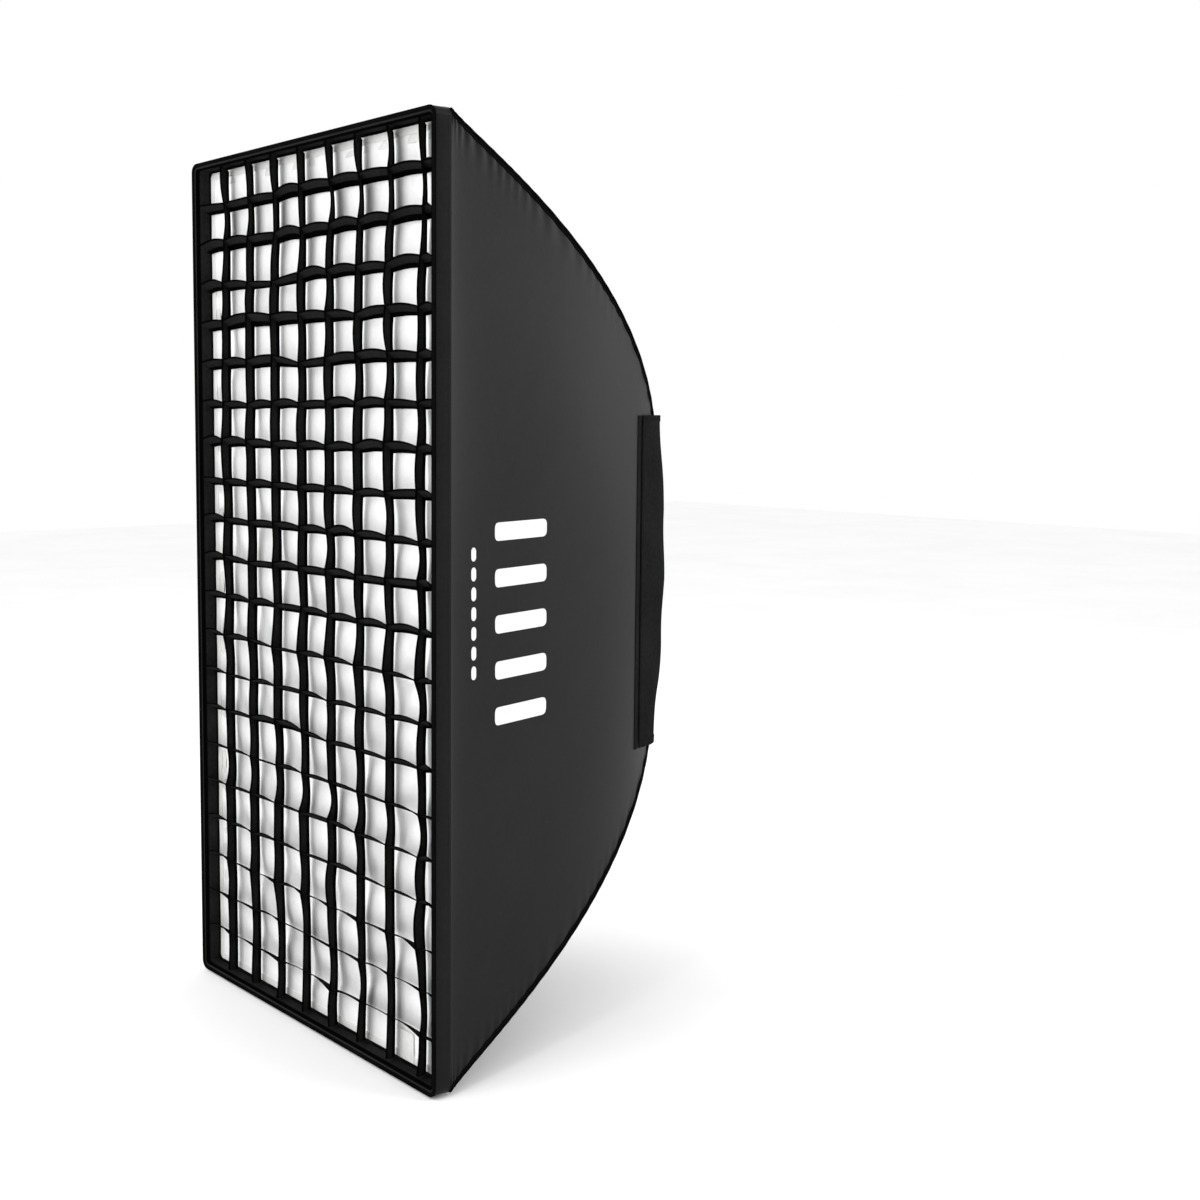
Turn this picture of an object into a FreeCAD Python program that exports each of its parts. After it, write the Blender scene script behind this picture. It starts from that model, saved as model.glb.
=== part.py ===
"""Strip softbox with a rotating bayonet speed ring, as a parametric document (millimetres).

The row frame has +Z up, -Y towards the lit front and +X to the right seen from the front.
Its origin is the centre of the bayonet's rear end face. A depth is a distance behind the
front edge plane, so a depth d lies at y = d - seat_depth.
"""
import FreeCAD, Part
import math
import os
import re

import Sketcher
from FreeCAD import Placement, Rotation, Vector

DIMENSIONS = {
    # outer shape of the fabric
    "face_width": 600.0,
    "face_height": 1200.0,
    "seat_depth": 579.0,
    "lip_depth": 25.0,
    "rear_plane": 557.0,
    "hub_half": 60.0,
    "knee_reach": 0.923,
    "knee_depth": 72.0,
    "shoulder_reach": 0.607,
    "fabric_wall": 2.0,
    "vent_half": 140.0,
    "gusset_edge": 104.0,
    "seam_margin": 3.6,
    "piping_radius": 3.2,
    "rim_wall": 4.0,
    "seam_gap": 1.8,
    "edge_tape_width": 4.0,
    "edge_tape_wall": 1.5,
    "tape_wall": 1.2,
    # front layers, by depth
    "grid_front": 2.0,
    "grid_rear": 25.0,
    "grid_half_width": 294.2,
    "grid_half_height": 594.2,
    "grid_wall": 2.0,
    "strip_wall": 1.6,
    "grid_columns": 9.0,
    "column_pitch": 69.0,
    "column_offset": 10.0,
    "grid_rows": 21.0,
    "strip_lean_side": 12.0,
    "strip_lean_up": 11.6,
    "diffuser_front": 26.6,
    "diffuser_half_width": 291.0,
    "diffuser_half_height": 588.5,
    "diffuser_hem": 8.0,
    "hem_wall": 1.6,
    "hook_width": 20.0,
    "ledge_front": 30.9,
    "ledge_width": 30.0,
    "ledge_half_width": 292.5,
    "ledge_half_height": 589.5,
    "patch_side": 55.0,
    # inner baffle
    "baffle_depth": 250.0,
    "baffle_half_width": 190.0,
    "baffle_half_height": 400.0,
    "baffle_hem": 12.0,
    "strap_width": 20.0,
    "strap_across": 90.0,
    "strap_up": 250.0,
    "hook_block": 8.0,
    "side_hook_half": 232.0,
    "end_hook_half": 460.0,
    # rods and their ring
    "rod_radius": 2.5,
    "rod_inset": 14.0,
    "rod_lead": 8.0,
    "rod_straight": 24.0,
    "rod_front": 40.0,
    "cap_radius": 4.0,
    "cap_length": 14.0,
    "ring_radius": 95.0,
    "ring_bore_radius": 66.0,
    "ring_front": 548.0,
    "ring_rear": 562.0,
    "socket_radius": 8.0,
    "socket_length": 34.0,
    "recess_radius": 76.0,
    "recess_depth": 4.0,
    "hole_clearance": 0.05,
    # rotating bayonet
    "spigot_front": 551.0,
    "flange_radius": 75.5,
    "flange_front": 558.3,
    "flange_rear": 561.7,
    "collar_radius": 63.0,
    "lamp_bore_radius": 49.0,
    "lug_radius": 72.0,
    "lug_depth": 4.0,
    "lug_width": 34.0,
    "lug_count": 3.0,
    # retainers
    "clip_count": 4.0,
    "clip_first_angle": 45.0,
    "clip_inner": 69.0,
    "clip_length": 22.0,
    "clip_width": 20.0,
    "clip_wall": 2.0,
    "screw_circle_radius": 84.0,
    "screw_radius": 2.0,
    "screw_head_radius": 3.8,
    "screw_head_wall": 2.6,
    "screw_length": 11.0,
    # lock screw
    "block_front": 562.2,
    "block_rear": 574.5,
    "block_low": 64.5,
    "block_high": 94.0,
    "block_width": 22.0,
    "lock_depth": 568.5,
    "lock_hole_radius": 3.0,
    "pad_low": 63.1,
    "pad_high": 69.0,
    "stem_high": 98.0,
    "knob_radius": 9.0,
    "knob_length": 18.0,
    # rear flaps
    "flap_half_height": 238.0,
    "seam_depth": 457.0,
    "bead_radius": 1.8,
    "bead_clearance": 0.6,
    "flap_shoulder_half": 152.0,
    "flap_shoulder_depth": 520.0,
    "flap_corner_half": 138.0,
    "flap_rear_depth": 556.0,
    "flap_edge_half": 103.0,
    "sewing_gap": 0.3,
    "seam_tape_front": 443.0,
    "seam_tape_rear": 453.5,
    "flap_tape_low": 180.0,
    "flap_tape_margin": 6.0,
    "flap_tape_front": 545.0,
    "flap_tape_rear": 552.5,
    "hook_patch_half": 92.0,
    "hook_patch_width": 24.0,
    "hook_patch_front": 512.0,
    "hook_patch_rear": 524.0,
}

ALIAS = re.compile(r"[a-z]+(?:_[a-z]+)+")
LEFT, RIGHT = -1, 1
DOWN, UP = -1, 1

doc = FreeCAD.newDocument("StripSoftbox")


def fill_sheet():
    """The driving dimensions, one cell each."""
    sheet = doc.addObject("Spreadsheet::Sheet", "sizes")
    for row, (alias, number) in enumerate(DIMENSIONS.items(), start=1):
        sheet.set(f"A{row}", alias)
        sheet.set(f"B{row}", str(number))
        sheet.setAlias(f"B{row}", alias)
    doc.recompute()
    return sheet


sizes = fill_sheet()


def size(alias):
    """The number in the sheet's cell of that name."""
    return float(sizes.get(alias))


def bind(feature, **formulas):
    """Ties properties to the sheet. A double underscore stands for a dot."""
    for name, formula in formulas.items():
        feature.setExpression(name.replace("__", "."), ALIAS.sub(r"sizes.\g<0>", formula))


def y_of(depth):
    """The row's y of a depth behind the front edge plane."""
    return depth - size("seat_depth")


# ---------------------------------------------------------------- building blocks


def box(name, x, depth, z):
    """A box from three (low, high) pairs of formulas: across, by depth, and up."""
    feature = doc.addObject("Part::Box", name)
    bind(feature, Length=f"({x[1]}) - ({x[0]})", Width=f"({depth[1]}) - ({depth[0]})",
         Height=f"({z[1]}) - ({z[0]})", Placement__Base__x=x[0],
         Placement__Base__y=f"({depth[0]}) - seat_depth", Placement__Base__z=z[0])
    return feature


def depth_cylinder(name, radius, depth, x=0.0, z=0.0):
    """A cylinder along Y between two depths, given as formulas."""
    feature = doc.addObject("Part::Cylinder", name)
    feature.Placement = Placement(Vector(x, 0, z), Rotation(Vector(1, 0, 0), -90))
    bind(feature, Radius=radius, Height=f"({depth[1]}) - ({depth[0]})",
         Placement__Base__y=f"({depth[0]}) - seat_depth")
    return feature


def upright_cylinder(name, radius, z, depth, x="0"):
    """A cylinder along Z, its axis at one depth."""
    feature = doc.addObject("Part::Cylinder", name)
    bind(feature, Radius=radius, Height=f"({z[1]}) - ({z[0]})", Placement__Base__x=x,
         Placement__Base__y=f"({depth}) - seat_depth", Placement__Base__z=z[0])
    return feature


def cut(name, base, tool):
    feature = doc.addObject("Part::Cut", name)
    feature.Base = base
    feature.Tool = tool
    return feature


def fuse(name, shapes):
    feature = doc.addObject("Part::MultiFuse", name)
    feature.Shapes = shapes
    return feature


def group(name, links):
    """Several separate solids that make one node."""
    feature = doc.addObject("Part::Compound", name)
    feature.Links = links
    return feature


def shaped(name, shape, placement=Placement()):
    """A feature whose shape comes from Part's own functions, moved by a placement."""
    feature = doc.addObject("Part::Feature", name)
    feature.Shape = shape
    feature.Placement = placement.multiply(shape.Placement)
    return feature


def half_turn():
    """The placement that turns a right-hand piece into its left one, or a top one into its bottom."""
    return Placement(Vector(), Rotation(Vector(0, 1, 0), 180))


def frame(name, half_x, half_z, width, depth):
    """Four butted bars around a rectangle: two full-height sides, and a top and bottom between."""
    inner_x = f"{half_x} - {width}"
    inner_z = f"{half_z} - {width}"
    return group(name, [
        box(f"{name}_right", (inner_x, half_x), depth, (f"-({half_z})", half_z)),
        box(f"{name}_left", (f"-({half_x})", f"-({inner_x})"), depth, (f"-({half_z})", half_z)),
        box(f"{name}_top", (f"-({inner_x})", inner_x), depth, (inner_z, half_z)),
        box(f"{name}_bottom", (f"-({inner_x})", inner_x), depth, (f"-({half_z})", f"-({inner_z})")),
    ])


# ---------------------------------------------------------------- the bowed edge curve


def edge_poles(start, end):
    """Bezier poles (across, depth) of the bowed edge, from the front lip back to the hub."""
    span = end - start
    return [
        (end, size("lip_depth")),
        (start + size("knee_reach") * span, size("knee_depth")),
        (start + size("shoulder_reach") * span, size("rear_plane")),
        (start, size("rear_plane")),
    ]


def side_poles():
    """The edge curve of the side panels."""
    return edge_poles(size("hub_half"), size("face_width") / 2)


def end_poles():
    """The edge curve of the top and bottom panels."""
    return edge_poles(size("hub_half"), size("face_height") / 2)


def inset(poles, distance):
    """The same curve moved inwards: each leg of its control polygon shifts by the distance."""
    normals = []
    for (a0, d0), (a1, d1) in zip(poles, poles[1:]):
        length = math.hypot(a1 - a0, d1 - d0)
        normals.append((-(d1 - d0) / length, (a1 - a0) / length))
    moved = []
    for index, (across, depth) in enumerate(poles):
        before = normals[max(index - 1, 0)]
        after = normals[min(index, len(normals) - 1)]
        scale = distance / (1 + before[0] * after[0] + before[1] * after[1])
        moved.append((across + (before[0] + after[0]) * scale, depth + (before[1] + after[1]) * scale))
    return moved


def bezier(poles, place=lambda across, depth: Vector(across, y_of(depth), 0)):
    curve = Part.BezierCurve()
    curve.setPoles([place(across, depth) for across, depth in poles])
    return curve


def parameter_at(curve, depth):
    """The curve's parameter where it crosses a depth."""
    low, high = 0.0, 1.0
    for _ in range(50):
        middle = (low + high) / 2
        if curve.value(middle).y < y_of(depth):
            low = middle
        else:
            high = middle
    return low


def layer_face(poles, near, far, front=None, rear=None):
    """Flat section of a layer that lies between two insets of a curve, from depth to depth."""
    edges = []
    for distance in (near, far):
        curve = bezier(inset(poles, distance))
        first = 0.0 if front is None else parameter_at(curve, front)
        last = 1.0 if rear is None else parameter_at(curve, rear)
        curve.segment(first, last)
        edges.append(curve.toShape())
    ends = [Part.makeLine(edges[0].valueAt(at), edges[1].valueAt(at)) for at in (0.0, 1.0)]
    return Part.Face(Part.Wire(Part.__sortEdges__([edges[0], ends[1], edges[1], ends[0]])))


def upright(face, low, high):
    """The face, drawn in the XY plane, carried from one height to another."""
    face.translate(Vector(0, 0, low))
    return face.extrude(Vector(0, 0, high - low))


def sideways(shape):
    """An upright shape laid on its side, so that its across direction becomes up."""
    shape.rotate(Vector(), Vector(0, 1, 0), -90)
    return shape


def arc_between(start, control, end):
    """The arc tangent to both legs of an isosceles corner."""
    middle = (start + end) * 0.5
    weight = start.distanceToPoint(middle) / max(start.distanceToPoint(control), 1e-9)
    crown = (middle + control * weight) * (1 / (1 + weight))
    return Part.Arc(start, crown, end).toShape()


def arc_chain(curve, first, last, spans):
    """Tangent arcs, two to a span, that follow the curve between two parameters."""
    edges = []
    step = (last - first) / spans
    for index in range(spans):
        begin, finish = first + index * step, first + (index + 1) * step
        here, there = curve.value(begin), curve.value(finish)
        leaving, arriving = Vector(curve.tangent(begin)[0]), Vector(curve.tangent(finish)[0])
        chord, sum_of = there - here, leaving + arriving
        turn = 2 * (1 - leaving.dot(arriving))
        along = chord.dot(sum_of)
        reach = (math.sqrt(along ** 2 + turn * chord.dot(chord)) - along) / turn
        corner_in, corner_out = here + leaving * reach, there - arriving * reach
        joint = (corner_in + corner_out) * 0.5
        edges += [arc_between(here, corner_in, joint), arc_between(joint, corner_out, there)]
    return edges


def swept(edges, radius):
    """A round bar along tangent edges."""
    path = Part.Wire(edges)
    start = path.Edges[0]
    ring = Part.Wire(Part.makeCircle(radius, start.valueAt(start.FirstParameter),
                                     start.tangentAt(start.FirstParameter)))
    return path.makePipeShell([ring], True, False)


def diagonal_length():
    """Length of an edge curve's reach, from its hub corner to its front corner."""
    hub = size("hub_half")
    return math.hypot(size("face_width") / 2 - hub, size("face_height") / 2 - hub)


def corner_place(side, level):
    """Maps (reach along the diagonal, depth) to a point in one corner's plane."""
    hub = size("hub_half")
    across = (size("face_width") / 2 - hub) / diagonal_length()
    upward = (size("face_height") / 2 - hub) / diagonal_length()
    return lambda reach, depth: Vector(side * (hub + across * reach), y_of(depth),
                                       level * (hub + upward * reach))


CORNERS = {"top_right": (RIGHT, UP), "top_left": (LEFT, UP),
           "bottom_right": (RIGHT, DOWN), "bottom_left": (LEFT, DOWN)}


# ---------------------------------------------------------------- rotating bayonet


def origin_plane(body, role):
    return next(item for item in body.Origin.OriginFeatures if item.Role == role)


def sketch_on(body, name, role):
    sketch = body.newObject("Sketcher::SketchObject", name)
    sketch.AttachmentSupport = [(origin_plane(body, role), "")]
    sketch.MapMode = "FlatFace"
    return sketch


def close_polygon(sketch, points):
    """A closed outline through the points, corner joined to corner."""
    count = len(points)
    for here, there in zip(points, points[1:] + points[:1]):
        sketch.addGeometry(Part.LineSegment(Vector(*here, 0), Vector(*there, 0)), False)
    for index in range(count):
        sketch.addConstraint(Sketcher.Constraint("Coincident", index, 2, (index + 1) % count, 1))


def dimension(sketch, kind, edge, point, formula):
    """Holds one sketch vertex's distance from an axis by a formula of the sheet."""
    axis_distance = {"DistanceX": 0, "DistanceY": 1}[kind]
    position = sketch.getPoint(edge, point)[axis_distance]
    if position >= 0:
        constraint = Sketcher.Constraint(kind, -1, 1, edge, point, position)
    else:
        constraint = Sketcher.Constraint(kind, edge, point, -1, 1, -position)
    index = sketch.addConstraint(constraint)
    sketch.setExpression(f"Constraints[{index}]", ALIAS.sub(r"sizes.\g<0>", formula))


def bayonet_insert():
    """Turned ring: spigot, captured flange and collar around the lamp bore, with locking lugs."""
    body = doc.addObject("PartDesign::Body", "bayonet_insert")
    profile = sketch_on(body, "insert_profile", "XY_Plane")
    spigot = "ring_bore_radius - hole_clearance"
    outline = [
        ("lamp_bore_radius", "seat_depth - spigot_front"),
        (spigot, "seat_depth - spigot_front"),
        (spigot, "seat_depth - flange_front"),
        ("flange_radius", "seat_depth - flange_front"),
        ("flange_radius", "seat_depth - flange_rear"),
        ("collar_radius", "seat_depth - flange_rear"),
        ("collar_radius", None),
        ("lamp_bore_radius", None),
    ]
    radii = {"lamp_bore_radius": size("lamp_bore_radius"), "flange_radius": size("flange_radius"),
             "collar_radius": size("collar_radius"),
             spigot: size("ring_bore_radius") - size("hole_clearance")}
    levels = {"seat_depth - spigot_front": y_of(size("spigot_front")),
              "seat_depth - flange_front": y_of(size("flange_front")),
              "seat_depth - flange_rear": y_of(size("flange_rear")), None: 0.0}
    close_polygon(profile, [(radii[radius], levels[level]) for radius, level in outline])
    for index, (radius, level) in enumerate(outline):
        dimension(profile, "DistanceX", index, 1, radius)
        if level is None:
            profile.addConstraint(Sketcher.Constraint("PointOnObject", index, 1, -1))
        else:
            dimension(profile, "DistanceY", index, 1, level)
    turned = body.newObject("PartDesign::Revolution", "insert_turned")
    turned.Profile = profile
    turned.ReferenceAxis = (profile, ["V_Axis"])
    turned.Angle = 360
    lug = sketch_on(body, "lug_outline", "XZ_Plane")
    inner, outer, half = size("collar_radius") - 4, size("lug_radius"), size("lug_width") / 2
    rise = math.sqrt(outer ** 2 - half ** 2)
    tip = Part.Arc(Vector(half, rise, 0), Vector(0, outer, 0), Vector(-half, rise, 0))
    lug.addGeometry(tip, False)
    for start, end in (((-half, rise), (-half, inner)), ((-half, inner), (half, inner)),
                       ((half, inner), (half, rise))):
        lug.addGeometry(Part.LineSegment(Vector(*start, 0), Vector(*end, 0)), False)
    pad = body.newObject("PartDesign::Pad", "lug")
    pad.Profile = lug
    bind(pad, Length="lug_depth")
    doc.recompute()
    before = turned.Shape.Volume
    if pad.Shape.BoundBox.YMax > 0.01:
        pad.Reversed = True
    pattern = body.newObject("PartDesign::PolarPattern", "lugs")
    pattern.Originals = [pad]
    pattern.Axis = (lug, ["N_Axis"])
    pattern.Angle = 360
    bind(pattern, Occurrences="lug_count")
    body.Tip = pattern
    doc.recompute()
    assert body.Shape.Volume > before
    return body


# ---------------------------------------------------------------- speed ring


def rod_socket(name, side, level):
    """A socket's outer barrel and its blind rod hole, along the rod's first straight run."""
    place = corner_place(side, level)
    depth = size("rear_plane") - size("rod_inset")
    start = place(-size("rod_lead") - 4, depth)
    direction = place(1, depth) - place(0, depth)
    parts = []
    for suffix, radius, offset in (("barrel", "socket_radius", 0.0), ("hole", "rod_radius + 0.1", 3.9)):
        feature = doc.addObject("Part::Cylinder", f"{name}_{suffix}")
        feature.Placement = Placement(start + direction * offset, Rotation(Vector(0, 0, 1), direction))
        bind(feature, Radius=radius, Height="socket_length")
        parts.append(feature)
    return parts


def clip_angles():
    """Angles of the clips round the lamp axis, in degrees from +X towards +Z."""
    count = int(size("clip_count"))
    return [size("clip_first_angle") + 360 * index / count for index in range(count)]


def clip_centres():
    """(x, z) of each clip's screw."""
    radius = size("screw_circle_radius")
    return [(radius * math.cos(math.radians(angle)), radius * math.sin(math.radians(angle)))
            for angle in clip_angles()]


def rod_ring():
    """Ring plate with four rod sockets, the bayonet's recess, clip holes and the lock block."""
    plate = depth_cylinder("ring_plate", "ring_radius", ("ring_front", "ring_rear"))
    half = "block_width / 2"
    block = box("lock_block", (f"-({half})", half), ("block_front", "block_rear"),
                ("block_low", "block_high"))
    foot = box("lock_foot", (f"-({half})", half), ("ring_rear - recess_depth", "block_front"),
               ("recess_radius + 1", "block_high"))
    barrels, holes = [], []
    for name, (side, level) in CORNERS.items():
        barrel, hole = rod_socket(f"socket_{name}", side, level)
        barrels.append(barrel)
        holes.append(hole)
    solid = fuse("ring_blank", [plate, block, foot] + barrels)
    tools = [
        depth_cylinder("ring_bore", "ring_bore_radius", ("ring_front - 20", "block_front - 0.1")),
        depth_cylinder("ring_recess", "recess_radius", ("ring_rear - recess_depth", "block_front")),
        upright_cylinder("lock_hole", "lock_hole_radius", ("block_low - 10", "block_high + 10"),
                         "lock_depth"),
    ]
    for index, (x, z) in enumerate(clip_centres()):
        tools.append(depth_cylinder(f"clip_hole_{index}", "screw_radius + 0.1",
                                    ("ring_rear - screw_length", "ring_rear"), x, z))
    return cut("rod_ring", solid, fuse("ring_tools", tools + holes))


def retainer_clips():
    """Four plates over the bayonet's flange, each with a clearance hole."""
    clips = []
    for index, (x, z) in enumerate(clip_centres()):
        plate = doc.addObject("Part::Box", f"clip_plate_{index}")
        bind(plate, Length="clip_length", Width="clip_wall", Height="clip_width")
        turn = Rotation(Vector(0, 1, 0), -clip_angles()[index])
        corner = Vector(size("clip_inner"), y_of(size("ring_rear")), -size("clip_width") / 2)
        plate.Placement = Placement(turn.multVec(corner), turn)
        hole = depth_cylinder(f"clip_bore_{index}", "screw_radius + 0.2",
                              ("ring_rear - 1", "ring_rear + clip_wall + 1"), x, z)
        clips.append(cut(f"clip_{index}", plate, hole))
    return group("retainer_clips", clips)


def retainer_screws():
    """Pan-head screws that hold the clips to the ring."""
    screws = []
    for index, (x, z) in enumerate(clip_centres()):
        shank = depth_cylinder(f"screw_shank_{index}", "screw_radius",
                               ("ring_rear - screw_length + 1", "ring_rear + clip_wall + 1"), x, z)
        head = depth_cylinder(f"screw_head_{index}", "screw_head_radius",
                              ("ring_rear + clip_wall", "ring_rear + clip_wall + screw_head_wall"),
                              x, z)
        screws.append(fuse(f"screw_{index}", [shank, head]))
    return group("retainer_screws", screws)


def lock_pad():
    """Brass nose that the lock screw pushes onto the bayonet's collar."""
    return upright_cylinder("lock_pad", "lock_hole_radius - hole_clearance",
                            ("pad_low", "pad_high"), "lock_depth")


def lock_screw():
    """Stem of the lock screw, as far as its knob."""
    return upright_cylinder("lock_stem", "lock_hole_radius - hole_clearance",
                            ("pad_high", "stem_high"), "lock_depth")


def lock_knob():
    """Knob of the lock screw with finger grooves."""
    blank = upright_cylinder("knob_blank", "knob_radius", ("stem_high", "stem_high + knob_length"),
                             "lock_depth")
    grooves = []
    for index in range(8):
        angle = math.radians(45 * index)
        groove = upright_cylinder(f"knob_groove_{index}", "knob_radius / 6",
                                  ("stem_high + 4", "stem_high + knob_length + 1"), "lock_depth")
        reach = size("knob_radius")
        bind(groove, Placement__Base__x=f"{reach * math.cos(angle):.4f}",
             Placement__Base__y=f"lock_depth - seat_depth + {reach * math.sin(angle):.4f}")
        grooves.append(groove)
    return cut("lock_knob", blank, fuse("knob_grooves", grooves))


# ---------------------------------------------------------------- rods


def rod_curve(side, level):
    """A rod's centre line, and its parameter at the rod's front end."""
    poles = inset(edge_poles(0.0, diagonal_length()), size("rod_inset"))
    poles[-1] = (size("rod_straight"), poles[-1][1])
    curve = bezier(poles, corner_place(side, level))
    return curve, parameter_at(curve, size("rod_front"))


def rod(name, side, level):
    """A sprung steel rod, bowed from its socket in the ring to its front corner."""
    curve, front = rod_curve(side, level)
    lead = Part.makeLine(curve.value(1.0), corner_place(side, level)(
        -size("rod_lead"), size("rear_plane") - size("rod_inset")))
    edges = arc_chain(curve, front, 1.0, 6) + [lead]
    return shaped(f"rod_{name}", swept(edges, size("rod_radius")))


def rod_caps():
    """Plastic caps on the rods' front ends."""
    caps = []
    for name, (side, level) in CORNERS.items():
        curve, front = rod_curve(side, level)
        end = curve.value(front)
        direction = Vector(curve.tangent(front)[0])
        blank = Part.makeCylinder(size("cap_radius"), size("cap_length"), end - direction * 3, direction)
        hole = Part.makeCylinder(size("rod_radius") + 0.3, size("cap_length"), end, direction)
        caps.append(shaped(f"rod_cap_{name}", blank.cut(hole)))
    return group("rod_caps", caps)


# ---------------------------------------------------------------- fabric shell


def slope():
    """Rise of the corner lines: height gained for each unit of width."""
    return (size("face_height") / 2 - size("hub_half")) / (size("face_width") / 2 - size("hub_half"))


def wedge(low, high, rise, margin, swap):
    """The block between two corner planes, for a panel from `low` to `high` off the axis."""
    outline = []
    for off, sign in ((low, -1), (high, -1), (high, 1), (low, 1)):
        along = sign * (size("hub_half") + (off - size("hub_half")) * rise - margin)
        point = (along, off) if swap else (off, along)
        outline.append(Vector(point[0], y_of(-50), point[1]))
    face = Part.Face(Part.makePolygon(outline + outline[:1]))
    return face.extrude(Vector(0, size("seat_depth") + 100, 0))


def side_panels():
    """Right panel, and the left one as the same piece turned half round."""
    half_width, half_height = size("face_width") / 2, size("face_height") / 2
    band = upright(layer_face(side_poles(), 0, size("fabric_wall")), -half_height, half_height)
    margin = size("seam_margin") * math.hypot(1, slope())
    shape = band.common(wedge(size("vent_half"), half_width + 1, slope(), margin, swap=False))
    return [shaped("panel_right", shape), shaped("panel_left", shape, half_turn())]


def end_panels():
    """Top panel, and the bottom one as the same piece turned half round."""
    half_width, half_height = size("face_width") / 2, size("face_height") / 2
    band = sideways(upright(layer_face(end_poles(), 0, size("fabric_wall")), -half_width, half_width))
    margin = size("seam_margin") * math.hypot(1, 1 / slope())
    shape = band.common(wedge(size("gusset_edge"), half_height + 1, 1 / slope(), margin, swap=True))
    return [shaped("panel_top", shape), shaped("panel_bottom", shape, half_turn())]


def piping(name, side, level):
    """Corner seam piping outside a rod, from the lip back to the hub."""
    curve = bezier(edge_poles(0.0, diagonal_length()), corner_place(side, level))
    front = parameter_at(curve, size("lip_depth") + 3)
    hub_end = parameter_at(curve, size("rear_plane") - 2)
    return shaped(f"piping_{name}", swept(arc_chain(curve, front, hub_end, 6), size("piping_radius")))


def front_rim():
    """The stiffened lip around the front."""
    return frame("front_rim", "face_width / 2", "face_height / 2", "rim_wall",
                 ("edge_tape_wall", "lip_depth - seam_gap"))


def edge_tape():
    """Binding over the lip's front edge."""
    return frame("edge_tape", "face_width / 2", "face_height / 2", "edge_tape_width",
                 ("0", "edge_tape_wall"))


def rim_hook_tape():
    """Hook tape round the inside of the lip."""
    return frame("rim_hook_tape", "face_width / 2 - rim_wall - 0.1",
                 "face_height / 2 - rim_wall - 0.1", "tape_wall",
                 ("edge_tape_wall + 0.2", "lip_depth - 1"))


def ledge():
    """Inner ledge that carries the front diffuser."""
    return frame("ledge", "ledge_half_width", "ledge_half_height", "ledge_width",
                 ("ledge_front", "ledge_front + tape_wall"))


def ledge_hook_tape():
    """Hook tape on the ledge's front."""
    return frame("ledge_hook_tape", "diffuser_half_width", "diffuser_half_height", "hook_width",
                 ("ledge_front - tape_wall", "ledge_front"))


def corner_patches():
    """Webbing patches behind the ledge's corners, where the rods' caps press."""
    patches = []
    for name, (side, level) in CORNERS.items():
        x = ("ledge_half_width - patch_side", "ledge_half_width")
        z = ("ledge_half_height - patch_side", "ledge_half_height")
        if side == LEFT:
            x = (f"-({x[1]})", f"-({x[0]})")
        if level == DOWN:
            z = (f"-({z[1]})", f"-({z[0]})")
        patches.append(box(f"patch_{name}", x, ("ledge_front + tape_wall",
                                                "ledge_front + 2 * tape_wall"), z))
    return group("corner_patches", patches)


# ---------------------------------------------------------------- diffusers


def diffuser_cloth():
    """Front diffusion cloth."""
    x, z = "diffuser_half_width - diffuser_hem", "diffuser_half_height - diffuser_hem"
    return box("diffuser_cloth", (f"-({x})", x),
               ("diffuser_front + 0.3", "diffuser_front + 1.3"), (f"-({z})", z))


def diffuser_border():
    """Stitched hem of the front diffuser."""
    return frame("diffuser_hem_band", "diffuser_half_width", "diffuser_half_height",
                 "diffuser_hem", ("diffuser_front", "diffuser_front + hem_wall"))


def diffuser_loop_tape():
    """Loop tape behind the front diffuser's border."""
    return frame("diffuser_loop_tape", "diffuser_half_width", "diffuser_half_height",
                 "hook_width", ("diffuser_front + hem_wall", "diffuser_front + hem_wall + tape_wall"))


def diffuser_tab():
    """Pull tab at the front diffuser's lower edge."""
    return box("diffuser_pull_tab", ("190", "220"), ("diffuser_front - 1.2", "diffuser_front"),
               ("-diffuser_half_height", "40 - diffuser_half_height"))


def inner_baffle():
    """Second diffusion cloth inside the box."""
    x, z = "baffle_half_width - baffle_hem", "baffle_half_height - baffle_hem"
    return box("inner_baffle", (f"-({x})", x), ("baffle_depth - 0.5", "baffle_depth + 0.5"),
               (f"-({z})", z))


def baffle_hem():
    """Hem tape round the inner baffle."""
    return frame("baffle_hem_band", "baffle_half_width", "baffle_half_height", "baffle_hem",
                 ("baffle_depth - 1", "baffle_depth + 1"))


def baffle_layout():
    """Each strap as (name, across range, up range), with its hook's ranges outside it."""
    layout = []
    for side in (LEFT, RIGHT):
        for level in (DOWN, UP):
            up = level * size("strap_up")
            layout.append((f"side_{side}_{level}".replace("-", "m"), (side, up), True))
            across = side * size("strap_across")
            layout.append((f"end_{side}_{level}".replace("-", "m"), (level, across), False))
    return layout


def stretch(name, sign, near, far, centre, sideways):
    """A flat piece in the baffle's plane that reaches outwards from `near` to `far`."""
    reach = (near, far) if sign > 0 else (f"-({far})", f"-({near})")
    width = (f"{centre} - strap_width / 2", f"{centre} + strap_width / 2")
    depth = ("baffle_depth - 0.6", "baffle_depth + 0.6")
    return box(name, reach, depth, width) if sideways else box(name, width, depth, reach)


def baffle_straps():
    """Elastic straps that stretch the baffle to the panels."""
    straps = []
    for name, (sign, centre), sideways in baffle_layout():
        near = "baffle_half_width" if sideways else "baffle_half_height"
        far = "side_hook_half" if sideways else "end_hook_half"
        straps.append(stretch(f"strap_{name}", sign, near, far, centre, sideways))
    return group("baffle_straps", straps)


def baffle_hooks():
    """Sewn anchors of the straps on the panels' inner side."""
    hooks = []
    for name, (sign, centre), sideways in baffle_layout():
        near = "side_hook_half" if sideways else "end_hook_half"
        hooks.append(stretch(f"anchor_{name}", sign, near, f"{near} + hook_block", centre, sideways))
    return group("baffle_anchors", hooks)


# ---------------------------------------------------------------- honeycomb grid


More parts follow.
